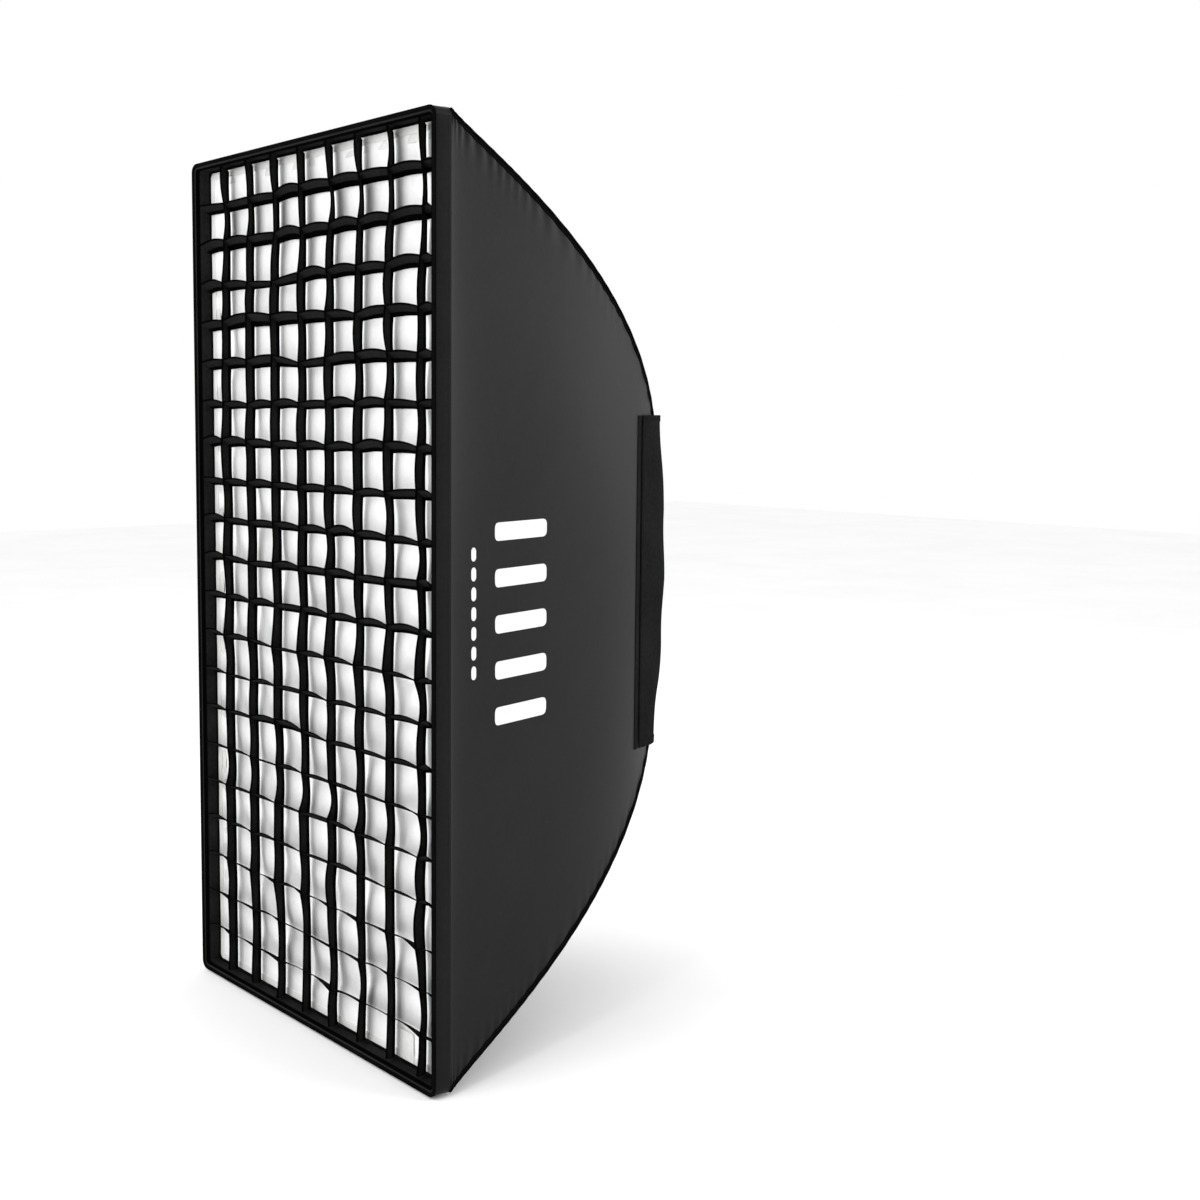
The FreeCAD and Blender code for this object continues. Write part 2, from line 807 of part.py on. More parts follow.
def grid_border():
    """Border band of the honeycomb grid."""
    return frame("grid_border", "grid_half_width - tape_wall", "grid_half_height - tape_wall",
                 "grid_wall", ("grid_front", "grid_rear"))


def grid_loop_tape():
    """Loop tape round the outside of the grid's border."""
    return frame("grid_loop_tape", "grid_half_width", "grid_half_height", "tape_wall",
                 ("grid_front", "grid_rear"))


def leaning_strip(x_low, x_high, z_low, z_high):
    """A strip of the grid, whose front edge leans to the side and up from its rear edge."""
    half_lean = Vector(size("strip_lean_side") / 2, 0, size("strip_lean_up") / 2)
    rear = y_of(size("grid_rear") - 0.2)
    corners = [Vector(x, rear, z) - half_lean
               for x, z in ((x_low, z_low), (x_high, z_low), (x_high, z_high), (x_low, z_high))]
    reach = size("grid_rear") - size("grid_front") - 0.4
    return Part.Face(Part.makePolygon(corners + corners[:1])).extrude(half_lean * 2 - Vector(0, reach, 0))


def grid_room():
    """Half width and half height open to the strips inside the border."""
    edge = size("tape_wall") + size("grid_wall") + 0.4
    return size("grid_half_width") - edge, size("grid_half_height") - edge


def column_lines():
    """Middle lines of the upright strips, evenly spaced and drawn towards the right side."""
    count = int(size("grid_columns")) - 1
    pitch, offset = size("column_pitch"), size("column_offset")
    return [(index - (count - 1) / 2) * pitch + offset for index in range(count)]


def row_lines():
    """Middle lines of the level strips, which divide the height into equal cells."""
    half, count = grid_room()[1], int(size("grid_rows"))
    return [half * (2 * index / count - 1) for index in range(1, count)]


def grid_uprights():
    """Upright strips of the honeycomb grid."""
    reach = grid_room()[1] - size("strip_lean_up") / 2
    wall = size("strip_wall") / 2
    strips = [shaped(f"upright_{index}", leaning_strip(x - wall, x + wall, -reach, reach))
              for index, x in enumerate(column_lines())]
    return group("grid_uprights", strips)


def grid_crossbars():
    """Level strips of the honeycomb grid, one piece to each cell."""
    wall = size("strip_wall") / 2
    columns = column_lines()
    end = grid_room()[0] - size("strip_lean_side") / 2
    lows = [-end] + [x + wall for x in columns]
    highs = [x - wall for x in columns] + [end]
    bars = []
    for row, z in enumerate(row_lines()):
        for column, (low, high) in enumerate(zip(lows, highs)):
            bars.append(shaped(f"crossbar_{row}_{column}", leaning_strip(low, high, z - wall, z + wall)))
    return group("grid_crossbars", bars)


# ---------------------------------------------------------------- rear flaps


def hinge_point():
    """Where the right flap's sewn bead turns, just outside the panel at the seam."""
    curve = bezier(side_poles())
    at = parameter_at(curve, size("seam_depth"))
    backward = Vector(curve.tangent(at)[0])
    normal = Vector(backward.y, -backward.x, 0)
    return curve.value(at) + normal * (size("bead_radius") + size("bead_clearance"))


def flap_poles():
    """Bezier poles of the right flap's outer face, from its bead to its free edge."""
    hinge = hinge_point()
    return [
        (hinge.x, hinge.y + size("seat_depth")),
        (size("flap_shoulder_half"), size("flap_shoulder_depth")),
        (size("flap_corner_half"), size("flap_rear_depth")),
        (size("flap_edge_half"), size("flap_rear_depth")),
    ]


def flap_shape():
    """Right rear flap: a bowed cloth that stands off the panel, with a bead on its hinge line."""
    half = size("flap_half_height")
    cloth = upright(layer_face(flap_poles(), 0, size("fabric_wall")), -half, half)
    bead = Part.makeCylinder(size("bead_radius"), 2 * half, hinge_point() - Vector(0, 0, half))
    return cloth.fuse(bead)


def flap_tape_shape():
    """Loop patches inside the right flap, near its free edge, at the top and the bottom."""
    near = size("fabric_wall") + size("sewing_gap")
    low, high = size("flap_tape_low"), size("flap_half_height") - size("flap_tape_margin")
    patches = []
    for start, end in ((low, high), (-high, -low)):
        face = layer_face(flap_poles(), near, near + size("tape_wall"),
                          size("flap_tape_front"), size("flap_tape_rear"))
        patches.append(upright(face, start, end))
    return Part.makeCompound(patches)


def outer_tape(poles, front, rear, low, high):
    """Tape sewn on the outside of a panel."""
    near = -size("sewing_gap")
    return upright(layer_face(poles, near, near - size("tape_wall"), front, rear), low, high)


def rear_flaps():
    """Both flaps with their tapes and seam tapes, the left side the right one turned half round."""
    half = size("flap_half_height")
    seam_tape = outer_tape(side_poles(), size("seam_tape_front"), size("seam_tape_rear"), -half, half)
    pieces = []
    for name, place in (("right", Placement()), ("left", half_turn())):
        pieces.append(shaped(f"flap_{name}", flap_shape(), place))
        pieces.append(shaped(f"flap_tape_{name}", flap_tape_shape(), place))
        pieces.append(shaped(f"seam_tape_{name}", seam_tape, place))
    return pieces


def gusset_hook_tapes():
    """Hook patches on the top and bottom panels, under the ends of the flaps' free edges."""
    inner = size("hook_patch_half")
    outer = inner + size("hook_patch_width")
    patches = []
    for low, high in ((inner, outer), (-outer, -inner)):
        tape = outer_tape(end_poles(), size("hook_patch_front"), size("hook_patch_rear"), low, high)
        for place in (Placement(), half_turn()):
            patches.append(shaped(f"hook_patch_{len(patches)}", sideways(tape.copy()), place))
    return group("gusset_hook_tapes", patches)


# ---------------------------------------------------------------- the document


def build():
    """Every node of the softbox."""
    nodes = [bayonet_insert(), rod_ring(), retainer_clips(), retainer_screws()]
    nodes += [lock_pad(), lock_screw(), lock_knob(), rod_caps()]
    for name, (side, level) in CORNERS.items():
        nodes += [rod(name, side, level), piping(name, side, level)]
    nodes += side_panels() + end_panels()
    nodes += [front_rim(), edge_tape(), rim_hook_tape(), ledge(), ledge_hook_tape(), corner_patches()]
    nodes += [diffuser_cloth(), diffuser_border(), diffuser_loop_tape(), diffuser_tab()]
    nodes += [inner_baffle(), baffle_hem(), baffle_straps(), baffle_hooks()]
    nodes += [grid_border(), grid_loop_tape(), grid_uprights(), grid_crossbars()]
    nodes += rear_flaps() + [gusset_hook_tapes()]
    return nodes


def write(nodes):
    """Checks every object, then writes one STEP file for each node."""
    doc.recompute()
    for item in doc.Objects:
        if {"Invalid", "Error"} & set(item.State):
            raise RuntimeError(f"{item.Name}: {item.State}")
    for node in nodes:
        if node.Shape.isNull() or not node.Shape.isValid():
            raise RuntimeError(f"{node.Name} has no valid shape")
    os.makedirs("parts", exist_ok=True)
    for node in nodes:
        node.Label = node.Name
        node.Shape.exportStep(f"parts/{node.Name}.step")
    hinge = hinge_point()
    print(f"{len(nodes)} nodes; right flap hinge at x {hinge.x:.2f}, y {hinge.y:.2f}")


write(build())
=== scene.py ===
"""Looks of a strip softbox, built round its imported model.

Every length is in metres, in the model's own frame: +Z up, -Y towards the lit front, and the
origin at the centre of the bayonet's rear end face. A depth is a distance behind the front edge.
"""
import logging
import math
from dataclasses import dataclass, field
from enum import Enum
from typing import Callable, Iterable, Optional, Sequence

import bpy
import bmesh
import numpy as np
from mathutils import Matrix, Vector


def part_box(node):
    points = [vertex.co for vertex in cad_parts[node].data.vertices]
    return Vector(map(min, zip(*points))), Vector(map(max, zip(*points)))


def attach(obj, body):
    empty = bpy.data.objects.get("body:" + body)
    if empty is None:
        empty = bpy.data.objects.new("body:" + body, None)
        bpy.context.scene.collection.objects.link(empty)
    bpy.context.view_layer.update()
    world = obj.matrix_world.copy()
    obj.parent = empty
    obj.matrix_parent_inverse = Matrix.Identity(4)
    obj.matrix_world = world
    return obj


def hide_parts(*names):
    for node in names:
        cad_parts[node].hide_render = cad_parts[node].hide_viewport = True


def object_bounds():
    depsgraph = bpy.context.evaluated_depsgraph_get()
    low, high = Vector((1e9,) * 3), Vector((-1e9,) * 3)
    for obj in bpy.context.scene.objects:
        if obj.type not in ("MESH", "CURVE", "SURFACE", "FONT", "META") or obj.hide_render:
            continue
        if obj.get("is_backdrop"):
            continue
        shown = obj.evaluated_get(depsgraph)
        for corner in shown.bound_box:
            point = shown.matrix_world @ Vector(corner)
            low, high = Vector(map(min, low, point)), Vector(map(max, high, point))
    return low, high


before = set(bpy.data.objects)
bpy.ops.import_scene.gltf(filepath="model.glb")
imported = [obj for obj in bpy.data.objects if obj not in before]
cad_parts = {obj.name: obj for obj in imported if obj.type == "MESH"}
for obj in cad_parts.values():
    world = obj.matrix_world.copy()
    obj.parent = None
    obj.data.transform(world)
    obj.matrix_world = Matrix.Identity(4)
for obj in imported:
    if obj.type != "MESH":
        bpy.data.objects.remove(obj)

log = logging.getLogger("strip_softbox")
CAD_LOW, CAD_HIGH = (Vector(corner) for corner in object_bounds())
SEED = 11
SHARP_ANGLE = 40.0
# Painted shade on webbing strips: where the darkening of a strip's two long edges starts, where it is full,
# and how dark it gets.
PAINTED_EDGE_SHADE_START = 0.0042
PAINTED_EDGE_SHADE_FULL = 0.0026
PAINTED_EDGE_SHADE_FACTOR = 0.15


class Side(Enum):
    """Across the box, seen from the front."""

    RIGHT = 1
    LEFT = -1


class Level(Enum):
    """Upper or lower half of the box."""

    TOP = 1
    BOTTOM = -1


class Weave(Enum):
    """How a cloth or tape is made, which decides its fine relief."""

    PLAIN = "plain"
    RIB = "rib"
    LOOP = "loop"
    HOOK = "hook"


RODS = tuple(f"rod_{level.name.lower()}_{side.name.lower()}" for side in Side for level in Level)


# ------------------------------------------------------------------ finishes


class Recipe:
    """Builds one procedural material, node by node."""

    def __init__(self, name: str) -> None:
        """Starts from an empty Principled material.

        Args:
            name: the material's name.
        """
        self.material = bpy.data.materials.new(name)
        self.material.use_nodes = True
        self.tree = self.material.node_tree
        self.shader = self.tree.nodes["Principled BSDF"]

    def node(self, kind: str, inputs: Optional[dict] = None, **settings: object) -> bpy.types.Node:
        """Adds a node.

        Args:
            kind: the shader node's type, without its ShaderNode prefix.
            inputs: socket name or index to a value, or to another node's output to link.
            settings: properties of the node itself.

        Returns:
            The new node.
        """
        made = self.tree.nodes.new("ShaderNode" + kind)
        for key, value in settings.items():
            setattr(made, key, value)
        for key, value in (inputs or {}).items():
            if isinstance(value, bpy.types.NodeSocket):
                self.tree.links.new(value, made.inputs[key])
            else:
                made.inputs[key].default_value = value
        return made

    def coordinates(self, on_surface: bool) -> bpy.types.NodeSocket:
        """The piece's own map in metres, or its place in the frame for a CAD node."""
        return self.node("TexCoord").outputs["UV" if on_surface else "Object"]

    def blend(self, amount: bpy.types.NodeSocket, low: Sequence[float],
              high: Sequence[float]) -> bpy.types.NodeSocket:
        """A colour that runs from low to high over the middle of the amount's range.

        Args:
            amount: the amount, from 0 to 1.
            low: the colour at small amounts.
            high: the colour at large amounts.

        Returns:
            The colour.
        """
        ramp = self.node("ValToRGB", {"Fac": amount})
        for element, position, colour in zip(ramp.color_ramp.elements, (0.35, 0.65), (low, high)):
            element.position = position
            element.color = (*colour, 1.0)
        return ramp.outputs["Color"]

    def math(self, operation: str, first: object, second: object = 0.0) -> bpy.types.NodeSocket:
        """One arithmetic step on sockets or numbers."""
        return self.node("Math", {0: first, 1: second}, operation=operation).outputs[0]

    def noise(self, place: bpy.types.NodeSocket, size: float,
              detail: float = 3.0) -> bpy.types.NodeSocket:
        """Soft noise whose patches are about `size` metres across."""
        return self.node("TexNoise", {"Vector": place, "Scale": 1.0 / size, "Detail": detail}).outputs["Fac"]

    def relief(self, layers: Iterable[tuple[bpy.types.NodeSocket, float, float]]) -> None:
        """Stacks bumps on the shader.

        Args:
            layers: (height, strength, distance in metres) of each bump, coarse ones first.
        """
        normal = None
        for height, strength, distance in layers:
            inputs = {"Height": height, "Strength": strength, "Distance": distance}
            if normal is not None:
                inputs["Normal"] = normal
            normal = self.node("Bump", inputs).outputs["Normal"]
        self.tree.links.new(normal, self.shader.inputs["Normal"])

    def set(self, **values: object) -> None:
        """Sets shader sockets to values, or links outputs to them.

        Args:
            values: socket name, with underscores for its spaces, to a value or an output.
        """
        for key, value in values.items():
            socket = self.shader.inputs[key.replace("_", " ")]
            if isinstance(value, bpy.types.NodeSocket):
                self.tree.links.new(value, socket)
            else:
                socket.default_value = value


@dataclass(frozen=True)
class Cloth:
    """A woven or coated cloth, or a tape. A strip gives its breadth, which places the painted shade on its
    two long edges.
    """

    name: str
    dark: tuple[float, float, float]
    light: tuple[float, float, float]
    weave: Weave = Weave.PLAIN
    roughness: float = 0.7
    sheen: float = 0.0
    thread: float = 0.0009
    relief: float = 0.25
    crease: float = 0.25
    crease_size: float = 0.03
    specular: float = 0.0
    breadth: float = 0.0
    on_surface: bool = True

    def threads(self, recipe: Recipe, place: bpy.types.NodeSocket) -> bpy.types.NodeSocket:
        """Height of the weave, rib, loops or hooks over the cloth.

        Args:
            recipe: the material that is being made.
            place: where on the cloth.

        Returns:
            The height, from 0 to 1.
        """
        if self.weave in (Weave.LOOP, Weave.HOOK):
            cells = recipe.node("TexVoronoi", {"Vector": place, "Scale": 0.7 / self.thread})
            return recipe.math("SUBTRACT", 1.0, cells.outputs["Distance"])
        split = recipe.node("SeparateXYZ", {"Vector": place}).outputs
        second = 1 if self.on_surface else 2
        axes = (second,) if self.weave is Weave.RIB else (0, second)
        waves = [recipe.math("ABSOLUTE", recipe.math("SINE", recipe.math("MULTIPLY", split[axis],
                                                                         math.tau / self.thread)))
                 for axis in axes]
        return waves[0] if len(waves) == 1 else recipe.math("MAXIMUM", *waves)

    def with_painted_edge_shade(self, recipe: Recipe, place: bpy.types.NodeSocket,
                  colour: bpy.types.NodeSocket) -> bpy.types.NodeSocket:
        """Darkens a strip's two long edges.

        Args:
            recipe: the material that is being made.
            place: where on the strip, with its width as the first part.
            colour: the strip's colour.

        Returns:
            The colour with painted shade along its two long edges.
        """
        # Painted shade: the colour darkens towards the strip's front and rear edges.
        across = recipe.node("SeparateXYZ", {"Vector": place}).outputs[0]
        off_middle = recipe.math("ABSOLUTE", recipe.math("SUBTRACT", across, self.breadth / 2))
        painted_edge_shade_mask = recipe.node("MapRange", {"Value": off_middle,
                                            "From Min": self.breadth / 2 - PAINTED_EDGE_SHADE_START,
                                            "From Max": self.breadth / 2 - PAINTED_EDGE_SHADE_FULL}).outputs[0]
        edge = (*(value * PAINTED_EDGE_SHADE_FACTOR for value in self.dark), 1.0)
        return recipe.node("Mix", {0: painted_edge_shade_mask, 6: colour, 7: edge}, data_type="RGBA").outputs[2]

    def material(self) -> bpy.types.Material:
        """The cloth's material.

        Returns:
            The material, read from the piece's own map or from Object coordinates.
        """
        recipe = Recipe(self.name)
        place = recipe.coordinates(self.on_surface)
        mottle = recipe.noise(place, 0.006, 5.0)
        broad = recipe.noise(place, 0.09)
        height = self.threads(recipe, place)
        tone = recipe.math("ADD", recipe.math("MULTIPLY", mottle, 0.5), recipe.math("MULTIPLY", broad, 0.5))
        colour = recipe.blend(tone, self.dark, self.light)
        # Painted shade along a strip's two long edges.
        if self.breadth:
            colour = self.with_painted_edge_shade(recipe, place, colour)
        recipe.set(Base_Color=colour,
                   Roughness=recipe.node("MapRange", {"Value": tone, "To Min": self.roughness - 0.06,
                                                      "To Max": self.roughness + 0.06}).outputs[0],
                   Sheen_Weight=self.sheen, Sheen_Roughness=0.5, Specular_IOR_Level=self.specular)
        recipe.relief([(recipe.noise(place, self.crease_size, 4.0), self.crease, 0.002),
                       (mottle, self.relief, 0.0004), (height, self.relief, 0.00015)])
        return recipe.material


@dataclass(frozen=True)
class Metal:
    """A metal finish with fine grain, faint smears and darker wear."""

    name: str
    dark: tuple[float, float, float]
    light: tuple[float, float, float]
    roughness: float = 0.35
    grain: float = 0.0006
    relief: float = 0.15
    metallic: float = 1.0

    def material(self) -> bpy.types.Material:
        """The metal's material.

        Returns:
            The material, read from Object coordinates.
        """
        recipe = Recipe(self.name)
        place = recipe.coordinates(on_surface=False)
        smear = recipe.noise(place, 0.018, 4.0)
        grain = recipe.noise(place, self.grain, 2.0)
        recipe.set(Base_Color=recipe.blend(smear, self.dark, self.light), Metallic=self.metallic,
                   Roughness=recipe.node("MapRange", {"Value": smear, "To Min": self.roughness - 0.07,
                                                      "To Max": self.roughness + 0.1}).outputs[0])
        recipe.relief([(smear, 0.04, 0.001), (grain, self.relief, 0.0001)])
        return recipe.material


@dataclass(frozen=True)
class Plastic:
    """A moulded plastic with a fine spark-eroded grain."""

    name: str
    dark: tuple[float, float, float]
    light: tuple[float, float, float]
    roughness: float = 0.45

    def material(self) -> bpy.types.Material:
        """The plastic's material.

        Returns:
            The material, read from Object coordinates.
        """
        recipe = Recipe(self.name)
        place = recipe.coordinates(on_surface=False)
        grain = recipe.noise(place, 0.0007, 2.0)
        handling = recipe.noise(place, 0.008, 3.0)
        recipe.set(Base_Color=recipe.blend(handling, self.dark, self.light), Specular_IOR_Level=0.45,
                   Roughness=recipe.node("MapRange", {"Value": handling, "To Min": self.roughness - 0.08,
                                                      "To Max": self.roughness + 0.08}).outputs[0])
        recipe.relief([(grain, 0.2, 0.0001)])
        return recipe.material


BLACK_NYLON = Cloth("black_nylon", (0.0040, 0.0040, 0.0042), (0.0075, 0.0075, 0.0078), roughness=0.42,
                    crease=0.09, crease_size=0.05, relief=0.12, specular=0.09)
FLAP_NYLON = Cloth("flap_nylon", (0.009, 0.009, 0.0092), (0.017, 0.017, 0.0172), roughness=0.8,
                   crease=0.15, crease_size=0.04)
LEDGE_NYLON = Cloth("ledge_nylon", (0.010, 0.010, 0.010), (0.018, 0.018, 0.018), roughness=0.7,
                    crease=0.2)
SILVER_LINING = Cloth("silver_lining", (0.55, 0.56, 0.57), (0.70, 0.71, 0.72), roughness=0.36,
                      crease=0.5, crease_size=0.02, specular=0.8)
BINDING = Cloth("binding_tape", (0.0016, 0.0016, 0.0016), (0.0045, 0.0045, 0.0045), Weave.RIB, 0.7,
                thread=0.0012, relief=0.5, crease=0.1)
# Its breadth lays painted shade along each strip's two long edges.
GRID_WEBBING = Cloth("grid_webbing", (0.010, 0.010, 0.010), (0.020, 0.020, 0.020), Weave.PLAIN, 0.8,
                     crease=0.3, crease_size=0.02, breadth=0.0222)
WHITE_DIFFUSION = Cloth("white_diffusion", (0.84, 0.84, 0.845), (0.9, 0.9, 0.9), roughness=0.85,
                        sheen=0.05, thread=0.0006, relief=0.08, crease=0.3, crease_size=0.03, specular=0.2)
WHITE_TAPE = Cloth("white_tape", (0.72, 0.72, 0.71), (0.84, 0.84, 0.83), Weave.RIB, 0.8,
                   thread=0.0012, relief=0.4, crease=0.2, specular=0.2)
WHITE_PRINT = Cloth("white_print", (0.72, 0.72, 0.72), (0.86, 0.86, 0.86), roughness=0.5,
                    relief=0.15, crease=0.1, specular=0.3)
BLACK_THREAD = Cloth("black_thread", (0.006, 0.006, 0.006), (0.022, 0.022, 0.022), Weave.RIB, 0.6,
                     thread=0.0005, relief=0.3, crease=0.0, specular=0.1, on_surface=False)
WHITE_THREAD = Cloth("white_thread", (0.7, 0.7, 0.69), (0.85, 0.85, 0.84), Weave.RIB, 0.6,
                     thread=0.0005, relief=0.3, crease=0.0, specular=0.2, on_surface=False)
HOOK_TAPE = Cloth("hook_tape", (0.002, 0.002, 0.002), (0.012, 0.012, 0.012), Weave.HOOK, 0.5,
                  thread=0.0016, relief=0.9, crease=0.0, specular=0.15)
LOOP_TAPE = Cloth("loop_tape", (0.004, 0.004, 0.004), (0.02, 0.02, 0.02), Weave.LOOP, 0.95,
                  sheen=0.1, thread=0.001, relief=0.8, crease=0.2)
WHITE_LOOP = Cloth("white_loop_tape", (0.64, 0.64, 0.63), (0.80, 0.80, 0.79), Weave.LOOP, 0.95,
                   sheen=0.2, thread=0.001, relief=0.8, crease=0.2)
TAPE = Cloth("woven_tape", (0.004, 0.004, 0.004), (0.013, 0.013, 0.013), Weave.RIB, 0.75,
             thread=0.0014, relief=0.5, crease=0.1)
ELASTIC = Cloth("braided_elastic", (0.008, 0.008, 0.008), (0.03, 0.03, 0.03), Weave.RIB, 0.8,
                thread=0.0011, relief=0.8, crease=0.0)
SPRING_STEEL = Metal("spring_steel", (0.22, 0.23, 0.24), (0.36, 0.37, 0.39), 0.3)
CAST_ALLOY = Metal("cast_alloy", (0.30, 0.31, 0.32), (0.46, 0.47, 0.49), 0.42, 0.0009, 0.35)
PAINTED_RING = Metal("painted_ring", (0.012, 0.012, 0.013), (0.022, 0.022, 0.023), 0.5, 0.0008, 0.3, 0.0)
PLATED_STEEL = Metal("plated_steel", (0.42, 0.42, 0.42), (0.58, 0.58, 0.57), 0.3)
BRASS = Metal("turned_brass", (0.56, 0.40, 0.18), (0.74, 0.57, 0.28), 0.3)
BLACK_PLASTIC = Plastic("black_plastic", (0.008, 0.008, 0.008), (0.018, 0.018, 0.018))


class Wardrobe:
    """Makes each finish's material once and hands it out."""

    def __init__(self) -> None:
        """Starts with nothing made."""
        self.made: dict[str, bpy.types.Material] = {}

    def get(self, finish: Cloth | Metal | Plastic) -> bpy.types.Material:
        """The material of a finish.

        Args:
            finish: the finish.

        Returns:
            Its material, made at the first call.
        """
        if finish.name not in self.made:
            self.made[finish.name] = finish.material()
        return self.made[finish.name]

    def dress(self, obj: bpy.types.Object, *finishes: Cloth | Metal | Plastic) -> None:
        """Puts finishes in an object's material slots.

        Args:
            obj: the object.
            finishes: its finishes, in the order of its slots.
        """
        obj.data.materials.clear()
        for finish in finishes:
            obj.data.materials.append(self.get(finish))

    def dress_nodes(self, finish: Cloth | Metal | Plastic, *nodes: str) -> None:
        """Gives one finish to carried-over CAD nodes.

        Args:
            finish: the finish.
            nodes: the nodes' names.
        """
        for node in nodes:
            self.dress(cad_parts[node], finish)
            log.info("node %s: %s", node, finish.name)


WARDROBE = Wardrobe()


def wear(piece: bpy.types.Object, body: str, slot: str, *finishes: Cloth | Metal | Plastic,
         replaces: Sequence[str] = ()) -> bpy.types.Object:
    """Finishes a piece, ties it to its body and hides the CAD nodes it stands for.

    Args:
        piece: the piece.
        body: the body it moves with.
        slot: the record's material slot; not used.
        finishes: its finishes by material slot, or none to keep what it has.
        replaces: the CAD nodes it stands for.

    Returns:
        The same piece.
    """
    if finishes:
        WARDROBE.dress(piece, *finishes)
    if replaces:
        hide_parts(*replaces)
    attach(piece, body)
    log.info("%s: %d faces on %s", piece.name, len(piece.data.polygons), body)
    return piece


# ------------------------------------------------------------------ mesh building


def link(obj: bpy.types.Object) -> bpy.types.Object:
    """Puts an object in the scene."""
    bpy.context.scene.collection.objects.link(obj)
    return obj


def running_length(points: np.ndarray, axis: int) -> np.ndarray:
    """Distance gone along a grid of points.

    Args:
        points: the grid, rows by columns by three.
        axis: 0 to go down the columns, 1 to go along the rows.

    Returns:
        The distance at each point, starting from zero.
    """
    steps = np.linalg.norm(np.diff(points, axis=axis), axis=-1)
    start = np.zeros_like(np.take(steps, [0], axis=axis))
    return np.concatenate([start, np.cumsum(steps, axis=axis)], axis=axis)


def surface_normals(points: np.ndarray, outward: Sequence[float]) -> np.ndarray:
    """Unit normals of a grid of points.

    Args:
        points: the grid, rows by columns by three.
        outward: roughly the way the normals should point.

    Returns:
        One normal for each point.
    """
    normals = np.cross(np.gradient(points, axis=0), np.gradient(points, axis=1))
    normals /= np.maximum(np.linalg.norm(normals, axis=-1, keepdims=True), 1e-12)
    sense = np.sign((normals * np.array(outward)).sum())
    return normals * sense


def quads_of(rows: int, cols: int) -> list[tuple[int, ...]]:
    """Point indices of the cells of a grid."""
    return [(r * cols + c, r * cols + c + 1, (r + 1) * cols + c + 1, (r + 1) * cols + c)
            for r in range(rows - 1) for c in range(cols - 1)]


def mesh_object(name: str, vertices: np.ndarray, faces: list[tuple[int, ...]],
                uvs: Optional[np.ndarray] = None, slots: Optional[list[int]] = None) -> bpy.types.Object:
    """A smooth-shaded mesh object at the origin.

    Args:
        name: the object's name.
        vertices: its points, one row each.
        faces: point indices of each face.
        uvs: a map in metres, one row for each face corner.
        slots: the material slot of each face.

    Returns:
        The object, in the scene.
    """
    mesh = bpy.data.meshes.new(name)
    mesh.from_pydata(vertices.tolist(), [], faces)
    if uvs is not None:
        mesh.uv_layers.new(name="UVMap").data.foreach_set("uv", uvs.astype(np.float32).ravel())
    if slots is not None:
        mesh.polygons.foreach_set("material_index", slots)
    mesh.polygons.foreach_set("use_smooth", [True] * len(mesh.polygons))
    mesh.set_sharp_from_angle(angle=math.radians(SHARP_ANGLE))
    mesh.update()
    return link(bpy.data.objects.new(name, mesh))


def face_outwards(obj: bpy.types.Object) -> bpy.types.Object:
    """Turns every face of a closed mesh outwards.

    Args:
        obj: the object.

    Returns:
        The same object.
    """
    work = bmesh.new()
    work.from_mesh(obj.data)
    bmesh.ops.recalc_face_normals(work, faces=work.faces)
    work.to_mesh(obj.data)
    work.free()
    return obj


def sheet(name: str, outer: np.ndarray, wall: float, outward: Sequence[float]) -> bpy.types.Object:
    """A closed sheet of cloth from a grid of points on its outer side.

    Args:
        name: the piece's name.
        outer: grid of points, rows by columns by three.
        wall: thickness, laid inwards.
        outward: roughly the way the outer side faces.

    Returns:
        The piece. Its outer side and edges use slot 0, its inner side slot 1.
    """
    rows, cols = outer.shape[:2]
    inner = outer - surface_normals(outer, outward) * wall
    across, along = running_length(outer, 1), running_length(outer, 0)
    flat = np.stack([across, along], axis=-1).reshape(-1, 2)
    count = rows * cols
    quads = quads_of(rows, cols)
    border = ([(0, c) for c in range(cols)] + [(r, cols - 1) for r in range(1, rows)]
              + [(rows - 1, c) for c in range(cols - 2, -1, -1)] + [(r, 0) for r in range(rows - 2, 0, -1)])
    loop = [r * cols + c for r, c in border]
    rims = [(a, a + count, b + count, b) for a, b in zip(loop, loop[1:] + loop[:1])]
    faces = quads + [tuple(i + count for i in reversed(quad)) for quad in quads] + rims
    uvs = np.concatenate([flat, flat])[np.array(faces).ravel()]
    slots = [0] * len(quads) + [1] * len(quads) + [0] * len(rims)
    points = np.concatenate([outer.reshape(-1, 3), inner.reshape(-1, 3)])
    return face_outwards(mesh_object(name, points, faces, uvs, slots))


def rounded_loop(half: tuple[float, float], radius: float, runs: tuple[int, int]) -> np.ndarray:
    """Points (x, z) round an upright rectangle with rounded corners.

    Args:
        half: half width and half height.
        radius: radius of the corners.
        runs: how many points lie on each level run and on each upright run.

    Returns:
        The points, starting at the right.
    """
    points = []
    quarters = [(1, 1, 0.0), (-1, 1, 90.0), (-1, -1, 180.0), (1, -1, 270.0)]
    for index, (side, level, start) in enumerate(quarters):
        centre = (side * (half[0] - radius), level * (half[1] - radius))
        for turn in np.radians(np.linspace(start, start + 90.0, 7)):
            points.append((centre[0] + radius * math.cos(turn), centre[1] + radius * math.sin(turn)))
        following = quarters[(index + 1) % 4]
        turn = math.radians(following[2])
        ahead = (following[0] * (half[0] - radius) + radius * math.cos(turn),
                 following[1] * (half[1] - radius) + radius * math.sin(turn))
        last, count = points[-1], runs[index % 2]
        points += [tuple(np.array(last) + (np.array(ahead) - last) * (step + 1) / (count + 1))
                   for step in range(count)]
    return np.array(points)


